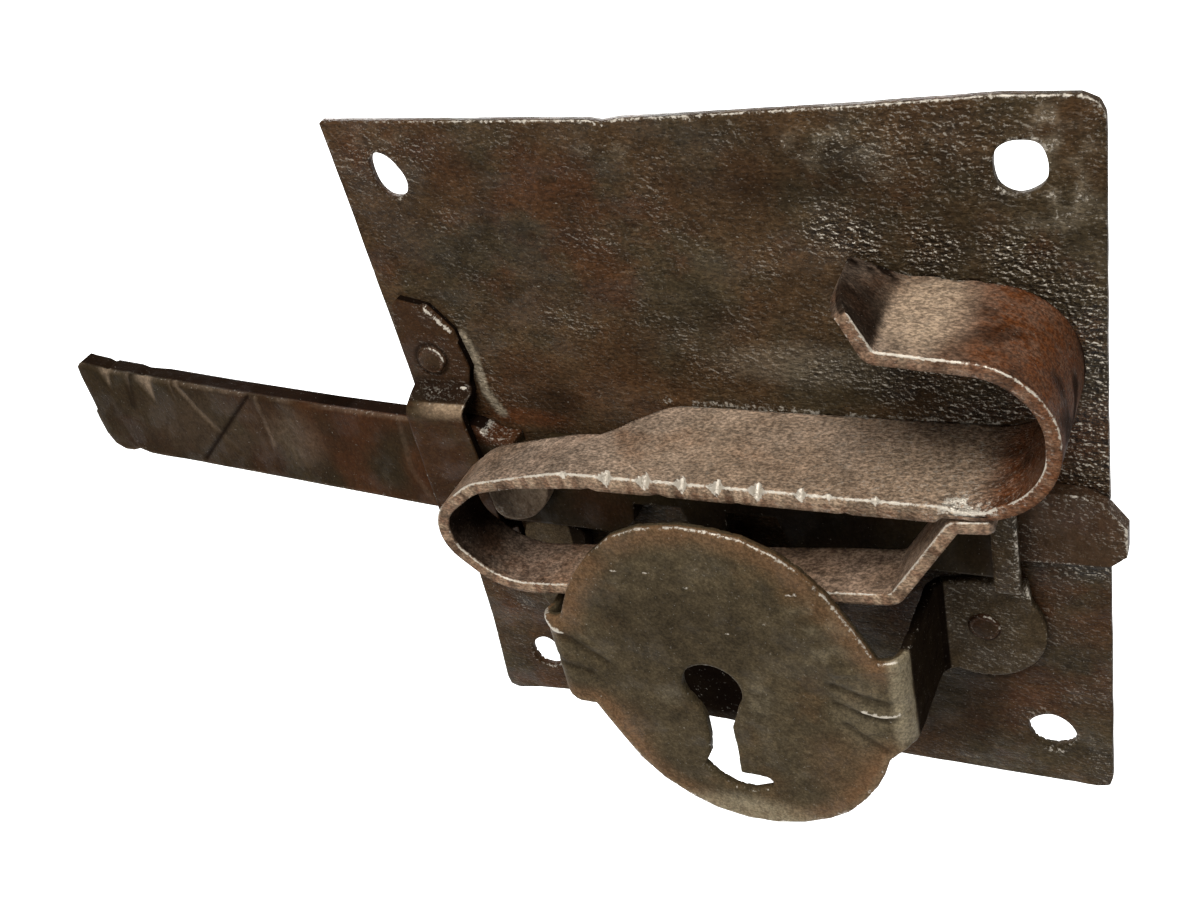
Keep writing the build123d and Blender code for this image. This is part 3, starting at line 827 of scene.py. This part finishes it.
# How much longer the flat sheet is at each side than the bent cover is wide
LEG_STRETCH = WING_MIDDLE - COVER_MIDDLE + (math.pi / 2 - 2) * (FOOT_BEND + FRONT_BEND)
TONGUE_PATH = rounded(
    [(WING_MIDDLE, -60), (WING_MIDDLE, -20.4), (BRIDGE_MIDDLE, -17.7), (BRIDGE_MIDDLE, 6.9), (-4.6, 8.6),
     (-1.2, 8.6)], [1.4] * 4, 0.2)


def cover_outline():
    """Flat shape of the cover. Past the ears, x counts along the sheet as it lies before it is bent."""
    disc_left = [(-34.6, -20.2), (-31.5, -19.4), (-29.6, -18.6), (-26.6, -11.5), (-24.2, -7.2), (-20.2, -2),
                 (-14.2, 3.6), (-8, 6.5), (0, 7.8)]
    disc_right = [(6, 7.5), (12, 6.3), (18, 3.3), (22, 0), (26.2, -5.2), (30.2, -12.2), (32.6, -17),
                  (33.9, -19.6), (37, -19.4)]
    bottom = [
        (38, -41.4), (35.6, -43), (33.9, -45.2), (32.7, -49), (30.8, -53.2), (28, -57.6), (24.2, -62.3),
        (20, -65.4), (14.2, -68.2), (8, -69.9), (2, -70.2), (-5, -68.8), (-10, -66.4), (-15.6, -62.2),
        (-20, -56.8), (-22.6, -51.8), (-25.2, -46.2), (-27, -42.2), (-30, -42.4), (-34.4, -41.4)
    ]
    leg = LEG_STRETCH
    foot_right = arc((46.3 + leg, -33), 12.4, 112, 84, 4)
    tip = arc_lengths(TONGUE_PATH)[-1] - 60.0
    tongue = [(x + leg, z) for x, z in ((50.7, -20.4), (50.6, tip), (55.2, tip), (55.4, -20.4),
                                       (56.2, -25.6))]
    foot_rest = arc((46.3 + leg, -33), 12.4, 32, -112, 14)
    right = [(45, -19.8), (45.5, -20.2), (40 + leg * 0.8, -20.8), *foot_right, *tongue, *foot_rest,
             (38 + leg * 0.7, -43.6), (44, -43)]
    foot_left = [(x - leg, z) for x, z in ((-36, -44.6), (-46, -45), (-49.4, -44), (-51, -40.6),
                                          (-51, -21.6), (-49.6, -18.2), (-46, -17.2), (-38, -17.8))]
    left = [(-38, -42.4), *foot_left, (-36 - leg * 0.6, -20.6), (-38, -20.8)]
    return [*disc_left, *disc_right, *right, *bottom, *left]


COVER_HALF = 0.9
WHITE_CREASE = [(-35.2, -19.6), (-32.4, -21.4), (-30.5, -22.7)]
BRIGHT_CREASE = [(30.2, -32.3), (33.3, -33), (36.4, -32.2)]
COVER_RIDGES = [
    (WHITE_CREASE, 1, 0.35), (BRIGHT_CREASE, 0.6, 0.35), ([(26, -23.4), (32, -21.6), (36, -21)], 1, 0.25),
    ([(29, -38), (33.8, -36.8)], 0.9, 0.2)
]
COVER_CREASES = [
    ([(-30.4, -23.4), (-25.1, -27.2), (-21.8, -29.8)], 0.9, 0.3),
    ([(25, -27), (30.3, -29.2), (36, -30.3)], 0.8, 0.35),
    ([(25, -31.6), (30.2, -33.8), (36, -34.2)], 0.7, 0.3),
    ([(26.6, -37), (29.5, -39.4), (33.6, -42.6)], 0.8, 0.3), ([(-33.6, -31.4), (-26, -33)], 0.9, 0.2)
]
COVER_DENTS = [
    ((9, -32.6), 1.5, 0.22), ((9.8, -38.4), 1.4, 0.2), ((-8.4, -37), 1.6, 0.2), ((-6.8, -40.2), 1.2, 0.16),
    ((6.8, -41.6), 1.2, 0.16), ((11.8, -35.4), 1.2, 0.14)
]

# Soft spots of the cover's paint
COVER_GLINTS = [
    (0.6, -14.8, -4.4, 1.2, 0.35), (0.6, -8, -4, 1.2, 0.4), (0.6, -0.6, -6.5, 0.7, 0.7),
    (0.6, 14, -13, 1.2, 0.4), (0.6, 6, -17, 0.9, 0.3), (0.6, 20, -5.2, 1.6, 0.6),
    (0.9, -33.3, -28.5, 0.9, 0.9)
]
COVER_PALE = [
    (0.75, 3, -68, 20, 7), (0.2, 30, -33, 8, 14), (0.22, 9.6, -34, 3.6, 8), (0.2, -9.4, -36.5, 4, 4)
]
COVER_RUST = [(0.35, -24, -50, 12, 16), (0.3, 26, -50, 12, 14)]


def key_cover():
    outline = cover_outline()
    obj = slab("forged_cover", outline, [KEYHOLE], COVER_HALF, -COVER_HALF, 0.42)
    co = points_of(obj)
    flat, ground, share, depth, rim = measured(co, [outline], COVER_HALF, -COVER_HALF)
    border = np.minimum(rim, nearest(flat, [KEYHOLE])[0])
    ridge, groove = creases(flat)
    wave = 0.1 * grain(ground, 11, 31) + 0.02 * grain(ground, 3, 32)
    co[:, 1] += wave + groove - ridge + share * np.clip(0.5 - border, 0, 0.5) * 0.5
    x, z, w = *flat.T, co[:, 1]
    tongue = (x > 46.3 + LEG_STRETCH) & (z > -24)
    bent = along(TONGUE_PATH, z + 60, -w)
    w = np.where(tongue, bent[:, 0] - WING_MIDDLE, w)
    z = np.where(tongue, bent[:, 1], z)
    side = along(COVER_PATH, x + cover_start(), w)
    set_points(obj, np.stack([side[:, 0], side[:, 1], z], 1))
    cover_paint(obj, flat, ground, share, depth, border, rim, tongue, groove)
    return finished(obj, "plate", "cover_iron", COVER_IRON, "key_cover")


def cover_paint(obj, flat, ground, share, depth, border, rim, tongue, groove):
    x, z = flat.T
    outside = share > 0.6
    front = (np.abs(x) < 37) & outside
    foot = x > 60
    low_rim = front * (z < -46) * (rim < 0.9)
    wear_and_glint = arris(border, depth, 0.6) * patchy(ground, 5, 33, -0.5, 0.3)
    wear_and_glint = wear_and_glint * (0.3 + 0.35 * front * ramp(x, -22, -8) * (rim < 1.3) * (z > -20))
    wear_and_glint += 0.4 * low_rim * patchy(ground, 3, 37, -0.3, 0.3) + outside * spots(flat, COVER_GLINTS)
    wear_and_glint += outside * 0.8 * fade(from_line(flat, WHITE_CREASE), 0.3, 1)
    wear_and_glint += outside * 0.9 * fade(from_line(flat, BRIGHT_CREASE), 0.15, 0.5)
    wear_and_glint += 0.3 * (tongue & (x > 54.5 + LEG_STRETCH) & outside)
    ragged = 0.7 * grain(ground * (1, 1, 0.5), 1.4, 34)
    smear = ramp(x, 34.8, 36.4) * fade(x + ragged, 39.6, 40.3) * ramp(z, -43, -39)
    pale = spots(flat, COVER_PALE) + 0.85 * smear + 0.25 * front * fade(rim, 0.4, 2) * (z < -40)
    pale += 0.25 * spot(flat, (24, -14), (8, 12)) * patchy(ground, 3, 38, -0.2, 0.4)
    ring = fade(rim, 1, 6.5) * patchy(ground, 7, 35, -0.7, 0.1)
    rust = front * (0.75 * ring + spots(flat, COVER_RUST)) + 0.15 * (np.abs(x) > 38)
    # Painted shade on the legs and on the back of the sheet; the feet, the creases and dents, and a spot
    # above the keyhole are painted darker
    dark = 0.95 * ramp(np.abs(x), 39.5, 40.8) * (np.abs(x) < 62) + 0.3 * (share < 0.5) + 0.25 * foot
    dark += front * (0.22 * spot(flat, (-4, -16), (22, 14)) + 0.5 * np.minimum(1, groove / 0.3)) * (1 - smear)
    gloss_and_glint = (foot | tongue) * (0.35 * patchy(ground, 5, 39, -0.5, 0.3) + 0.25 * tongue)
    paint(obj, wear_and_glint, pale * outside, dark, rust, gloss_and_glint)


def creases(flat):
    """Height of the hammered ridges, and depth of the creases and dents, of the cover's front."""
    ridge = sum(1.3 * height * bell(from_line(flat, line), width) for line, width, height in COVER_RIDGES)
    groove = sum(1.5 * depth * bell(from_line(flat, line), width) for line, width, depth in COVER_CREASES)
    for centre, radius, depth in COVER_DENTS:
        groove += depth * bell(np.linalg.norm(flat - np.array(centre), axis=1), radius)
    return ridge, groove


# Spring and tumbler strip, cut flat and bent along its path

STRIP_PATH = rounded(
    [(28, 43.9), (65.2, 40.7), (65.2, 13.4), (-24, 13.3), (-44.2, 8.5), (-53.7, 1), (-53.7, -7.2),
     (-43.8, -16.7), (37.2, -7.6), (48.6, 10.2), (55.2, 10.7)],
    [13.6, 13.6, 30, 12, 8.6, 9.2, 15, 3, 1.4], 0.3)
STRIP_LENGTHS = arc_lengths(STRIP_PATH)
NICKS = [
    (-27.3, 0.7), (-22.8, 1.4), (-14.4, 2.4), (-6.7, 2.6), (0.6, 2.4), (7.4, 2.4), (14.8, 2.6), (22.8, 2),
    (27.8, 1.2), (35.9, 1.4)
]
CHIPS = [(-18.3, 1.6), (-4.2, 1.8), (11, 1), (30.5, 1.2)]
STRIP_HALF = 1.2

# Parts of the strip, and the lengths along its path between which x finds its place on them
ARM, RUN, LOWER = 0, 1, 2
PART_ENDS = [(0, 44), (46, 179), (181, 300)]


def strip_at(x, part):
    """Distance along the strip's path at x on one of its parts."""
    first, last = PART_ENDS[part]
    inside = (STRIP_LENGTHS >= first) & (STRIP_LENGTHS <= last)
    xs, ss = STRIP_PATH[inside, 0], STRIP_LENGTHS[inside]
    order = np.argsort(xs)
    return float(np.interp(x, xs[order], ss[order]))


def passed(s, part, first, last):
    """0 at x = first and 1 at x = last on one part of the strip."""
    return ramp(s, strip_at(first, part), strip_at(last, part))


LIP_START = strip_at(39, ARM)


def turned_up(s, y, h):
    """Turns up the end of the fixed arm, steeply at the front and only a little at the plate."""
    share = np.clip((y - STRIP_FRONT) / (STRIP_BACK - STRIP_FRONT), 0, 1)
    angle = np.radians(60 - 44 * share ** 0.7)
    radius = 2 + 5 * share
    beyond = np.maximum(0, LIP_START - s)
    turn = np.minimum(beyond / radius, angle)
    past = np.maximum(0, beyond - radius * angle)
    moved_s = LIP_START - np.sin(turn) * (radius - h) - past * np.cos(turn)
    moved_h = radius - np.cos(turn) * (radius - h) + past * np.sin(turn)
    lip = s < LIP_START
    return np.where(lip, moved_s, s), np.where(lip, moved_h, h)


def nicked(s, y, w):
    """Files the wedge-shaped nicks into the run's front arrises, and tells how deep each point was cut."""
    cut, chips = np.zeros(len(s)), np.zeros(len(s))
    behind = np.maximum(y - STRIP_FRONT, 0)
    for x, wide in NICKS:
        reach = np.clip(1 - np.abs(s - strip_at(x, RUN)) / (wide * 0.75), 0, 1) * wide * 1.1
        cut = np.maximum(cut, reach - (w + STRIP_HALF) - behind)
    for x, wide in CHIPS:
        reach = np.clip(1 - np.abs(s - strip_at(x, RUN)) / wide, 0, 1) * wide * 0.35
        chips = np.maximum(chips, reach - (2.3 - w) - behind)
    return y + 0.5 * (cut + chips), w + 0.5 * cut - 0.5 * chips, cut


def strip_outline():
    """Flat shape of the strip, its length along the path against y."""
    total = STRIP_LENGTHS[-1]
    lip = [(8.9, STRIP_FRONT), (9.6, STRIP_FRONT + 0.7), (10.4, STRIP_FRONT + 8), (11.2, STRIP_REAR - 0.8),
           (10.8, STRIP_REAR)]
    outline = [(LIP_START - past, y) for past, y in lip]
    for x, _ in ARM_TENONS:
        s = strip_at(x, ARM)
        outline += [(s - 1.5, STRIP_REAR), (s - 1.5, -0.3), (s + 1.5, -0.3), (s + 1.5, STRIP_REAR)]
    narrowing = [
        (-8.1, STRIP_REAR), (-10.3, -3.2), (-12.7, -5.1), (-15.6, -8.1), (-18.1, -11.2), (-20.5, LOOP_BACK)
    ]
    outline += [(strip_at(x, RUN), y) for x, y in narrowing]
    return outline + [(total - 0.6, LOOP_BACK), (total, LOOP_BACK - 1), (total, STRIP_FRONT + 1),
                      (total - 0.8, STRIP_FRONT)]


def strip():
    outline = strip_outline()
    obj = slab("bent_strip", outline, [], STRIP_HALF, -STRIP_HALF, 0.44)
    s, w, y = points_of(obj).T.copy()
    plan = np.stack([s, y], 1)
    ground = np.stack([s, y, 0 * s], 1)
    from_front = y - STRIP_FRONT
    rise = normals_at(STRIP_PATH, s)[:, 1]
    up = w * rise > 0
    upper_edge = arris(np.abs(from_front), np.abs(w * np.sign(rise) - STRIP_HALF), 0.6)
    edge = arris(nearest(plan, [outline])[0], np.abs(np.abs(w) - STRIP_HALF), 0.5)
    start, end = strip_at(46.5, RUN), strip_at(-30, RUN)
    thicker = 1.1 * ramp(s, start - 0.6, start + 1) * fade(s, end - 6, end + 6)
    w += np.clip((w + STRIP_HALF) / (2 * STRIP_HALF), 0, 1) * thicker
    y, w, cut = nicked(s, y, w)
    worn_end = spot(plan, (strip_at(51, RUN), STRIP_FRONT + 0.4), (7, 4.2)) * (w < 0.6)
    w += 0.7 * spot(plan, (strip_at(51.5, RUN), STRIP_FRONT), (6, 3)) * (w < 0)
    w += 0.1 * grain(ground, 12, 41) + 0.05 * grain(ground, 3.4, 42, (2, 1, 1))
    y += np.where(from_front < 0.6, 0.1 * grain(ground, 6, 43), 0)
    bent_s, bent_w = turned_up(s, y, w)
    side = along(STRIP_PATH, bent_s, bent_w)
    set_points(obj, np.stack([side[:, 0], y, side[:, 1]], 1))
    strip_paint(obj, plan, ground, y, w, up, edge, upper_edge, cut, worn_end)
    finished(obj, None, "strip_iron", STRIP_IRON, "spring_tumbler")
    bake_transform(obj)
    return obj


def strip_paint(obj, plan, ground, y, w, up, edge, upper_edge, cut, worn_end):
    s = plan[:, 0]
    inner, outer = w > 0, w < 0
    front_face = fade(plan[:, 1] - STRIP_FRONT, 0.1, 0.5)
    lip = fade(s, LIP_START - 3, LIP_START - 0.3)
    arm = s < strip_at(50, ARM)
    bend = ramp(s, strip_at(45, ARM), strip_at(51, ARM) + 4) * (1 - passed(s, RUN, 57, 47))
    run = passed(s, RUN, 57, 50) * (1 - passed(s, RUN, -46, -51))
    lower = passed(s, LOWER, -47, -40)
    left = passed(s, RUN, -46, -51) * (1 - lower)
    facet = ramp(cut, 0.05, 0.25)
    broken = patchy(ground, 5, 44, -0.8, 0)
    back_edge = fade(STRIP_REAR - y, 0.1, 0.7) * up * patchy(ground, 5, 46, -0.4, 0.2)
    wear_and_glint = (edge * 0.2 + upper_edge * (0.6 + 0.3 * run + 0.3 * arm)) * broken + facet * 0.75
    wear_and_glint += 0.7 * worn_end * patchy(ground, 1.6, 45, -0.5, 0.2)
    # Painted glints along the back edge of the upward faces, and wear on the lip's front
    wear_and_glint += back_edge * (0.4 * run + 0.2 * arm) + 0.15 * front_face * lip

    tan = spot(plan, (LIP_START + 5, -12), (11, 17))
    grey = spot(plan, (LIP_START + 11, -12), (12, 14))
    turned = bend * (up | inner)
    rust = turned * (0.84 + 0.16 * patchy(ground, 7, 47, -0.7, 0.2)) + 0.15 * tan * up * ramp(y, -18, -8)
    rust += front_face * (0.74 + 0.1 * bend) + up * 0.55 * passed(s, ARM, 45, 51) * (1 - bend) * arm
    rust += up * (0.14 * run * patchy(ground, 9, 48, 0.1, 0.6) + 0.25 * lower)
    pale_run = 0.44 * (0.7 + 0.3 * patchy(ground, 14, 53, -0.5, 0.5)) * (1 - 0.75 * passed(s, RUN, -4, -26))
    pale_run += 0.22 * spot(plan, (strip_at(42, RUN), -16), (16, 14))
    pale = up * ((0.9 * tan + 0.2 * grey) * (1 - bend) + run * pale_run)
    pale += 0.2 * lower * up * passed(s, LOWER, -38, -28)
    flaked = 0.2 + 0.62 * patchy(ground, 1.6, 50, -0.3, 0.4)
    pale += front_face * flaked * (1 - 0.7 * bend) * (1 - 0.4 * arm)

    # Painted shade: the inside of the left loop, the faces that look down, the inside of the U bend and the
    # upper face of the turned-up lip
    inside_left = inner * passed(s, RUN, -42, -50) * (1 - passed(s, LOWER, -52, -34))
    dark = 0.95 * inside_left + 0.3 * ~up * (1 - bend) * (1 - left)
    dark += (0.3 * lower + 0.12 * run) * up * patchy(ground, 1.8, 51, 0, 0.4)
    dark += bend * (inner * (0.1 + 0.3 * ramp(s, 32, 42)) + 0.25 * outer * (s < 60))
    dark += 0.9 * lip * up * (1 - 0.35 * ramp(y, -16, -5))
    dark += 0.55 * fade(STRIP_REAR - y, 0.5, 5) * arm * patchy(ground, 1.6, 52, -0.2, 0.2)
    dark += 0.5 * turned * patchy(ground, 4.2, 55, 0, 0.45, (1.4, 1, 1))
    dark = dark * (1 - front_face) * (1 - 0.8 * upper_edge)
    dark += 0.45 * front_face * patchy(ground, 2.2, 54, 0, 0.4)
    gloss_and_glint = 0.5 * worn_end + run * (0.1 + 0.22 * passed(s, RUN, 10, 44))
    gloss_and_glint += 0.3 * bend * outer + 0.1 * arm * up * (1 - bend)
    paint(obj, wear_and_glint, pale * (1 - facet), dark * (1 - facet), rust * (1 - facet), gloss_and_glint)


# Rivets and small inner pieces

RIVETS = [
    ("left_staple_upper_rivet", (-60.2, 23.3), 51), ("left_staple_lower_rivet", (-60, -25.6), 52),
    ("cover_left_foot_rivet", (-43, -32.2), 53), ("cover_right_foot_rivet", (47.1, -32.2), 54)
]
DOME_RADIUS = 3.2
DOME_HEIGHT = 0.75
DOME_SEAT = PLATE_FRONT - SHEET + 0.25


def dome(name, centre, seed):
    """Hammered rivet head, a little flat and out of round."""
    bm = bmesh.new()
    bmesh.ops.create_uvsphere(bm, u_segments=48, v_segments=24, radius=1)
    for v in bm.verts:
        turn = math.atan2(v.co.y, v.co.x)
        out = DOME_RADIUS * (1 + 0.05 * math.sin(2 * turn + seed) + 0.03 * math.sin(5 * turn + 2 * seed))
        height = 1 - (1 - v.co.z) ** 2.6 if v.co.z > 0 else v.co.z * 0.35
        reach = min(1, math.hypot(v.co.x, v.co.y))
        scale = out * (reach ** 0.72) / max(reach, 1e-6)
        v.co = Vector((v.co.x * scale, v.co.y * scale, height * DOME_HEIGHT))
    mesh = bpy.data.meshes.new(name)
    bm.to_mesh(mesh)
    bm.free()
    place = Matrix.Translation((centre[0], DOME_SEAT, centre[1]))
    mesh.transform(place @ Matrix.Rotation(math.pi / 2, 4, "X"))
    obj = linked(name, mesh)
    co = points_of(obj)
    co += 0.06 * grain(co, 1.8, seed)[:, None]
    co[:, 1] = np.maximum(co[:, 1], DOME_SEAT - DOME_HEIGHT)
    set_points(obj, co)
    x, z = (co[:, [0, 2]] - np.array(centre)).T
    r, angle = np.hypot(x, z) / DOME_RADIUS, np.degrees(np.arctan2(z, x))
    # Painted light: a highlight on the rim's upper right and painted shade round the rest of the rim
    lit = ramp(angle, -20, 15) * fade(angle, 80, 130)
    rim = ramp(r, 0.8, 0.93) * fade(r, 0.97, 1.02)
    paint(obj, 0.6 * rim * lit, 0, 0.8 * rim * (1 - lit), 0.1, 0.2)
    return obj


def rivets():
    for node, centre, seed in RIVETS:
        obj = dome(node.replace("_rivet", "_dome"), centre, seed)
        finished(obj, "plate", "rivet_iron", RIVET_IRON)
        coat(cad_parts[node].data, RIVET_IRON)


def inner_pieces():
    """The ward ring and the catch lug keep their own solids, with forged surfaces."""
    for node, material in (("ward_ring", WARD_IRON), ("catch_lug", STRIP_IRON)):
        coat(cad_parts[node].data, material)


# Light, floor and camera

CAMERA_PLACE = (98.95, -207.75, 165.92)
CAMERA_TURN = ((0.89769, -0.0746, 0.43427), (0.38857, 0.59875, -0.70037), (-0.20778, 0.79746, 0.56647))
CAMERA_LENS = 43.37
WORLD_FILL = 0.13
FLOOR_Z = -0.3
FLOOR_SIZE = 3.0
FLOOR_PAINT = (0.8, 0.8, 0.79)
FLOOR_GLOW = 0.92
LAMPS = [
    ("top_light", (0.16, -0.52, 1.1), (0.7, 0.6), 23), ("back_light", (-0.45, 1.05, 0.35), (0.7, 0.7), 14),
    ("front_light", (-0.55, -0.85, 0.2), (0.6, 0.6), 4.5)
]


def camera():
    data = bpy.data.cameras.new("camera")
    data.lens = CAMERA_LENS
    data.sensor_width = 36.0
    data.clip_start = 0.01
    data.clip_end = 20.0
    obj = linked("camera", data)
    turn = Matrix(CAMERA_TURN).to_4x4()
    obj.matrix_world = Matrix.Translation([v * MM for v in CAMERA_PLACE]) @ turn
    bpy.context.scene.camera = obj


def lamp(name, place, size, power):
    """Soft lamp that looks at the frame's origin."""
    data = bpy.data.lights.new(name, "AREA")
    data.shape = "RECTANGLE"
    data.size, data.size_y = size
    data.energy = power
    obj = linked(name, data)
    obj.location = place
    obj.rotation_mode = "QUATERNION"
    obj.rotation_quaternion = (-Vector(place)).to_track_quat("-Z", "Y")


def in_sight(t):
    """1 for rays from the camera and for mirrored or refracted ones, 0 for those that light the object."""
    path = t.add("ShaderNodeLightPath").outputs
    seen = t.math("MAXIMUM", path["Is Camera Ray"], path["Is Glossy Ray"])
    return t.math("MAXIMUM", seen, path["Is Transmission Ray"])


def sky():
    """White ground to look at, and a weak white light from all sides."""
    world = bpy.data.worlds.new("studio")
    bpy.context.scene.world = world
    world.use_nodes = True
    t = Tree(world.node_tree)
    fill, white = (t.made("ShaderNodeBackground", WHITE, strength) for strength in (WORLD_FILL, 1))
    surface = t.made("ShaderNodeMixShader", in_sight(t), fill, white)
    t.put(t.add("ShaderNodeOutputWorld").inputs["Surface"], surface)


def pale_floor():
    """Matt floor that glows only for rays in sight, so it looks white without lighting the object."""
    corners = [(x * FLOOR_SIZE, y * FLOOR_SIZE, FLOOR_Z) for x, y in ((-1, -1), (1, -1), (1, 1), (-1, 1))]
    mesh = bpy.data.meshes.new("floor")
    mesh.from_pydata(corners, [], [(0, 1, 2, 3)])
    floor = linked("floor", mesh)
    material, t = new_material("pale_floor")
    matt = t.made("ShaderNodeBsdfDiffuse", FLOOR_PAINT)
    both = t.made("ShaderNodeAddShader", matt, t.made("ShaderNodeEmission", WHITE, FLOOR_GLOW))
    surface = t.made("ShaderNodeMixShader", in_sight(t), matt, both)
    t.put(t.add("ShaderNodeOutputMaterial").inputs["Surface"], surface)
    mesh.materials.append(material)


camera()
sky()
pale_floor()
for lamp_values in LAMPS:
    lamp(*lamp_values)
bpy.context.scene.view_settings.view_transform = "Standard"

lock_plate()
bolt()
bolt_stop()
left_staple()
key_cover()
strip()
rivets()
inner_pieces()
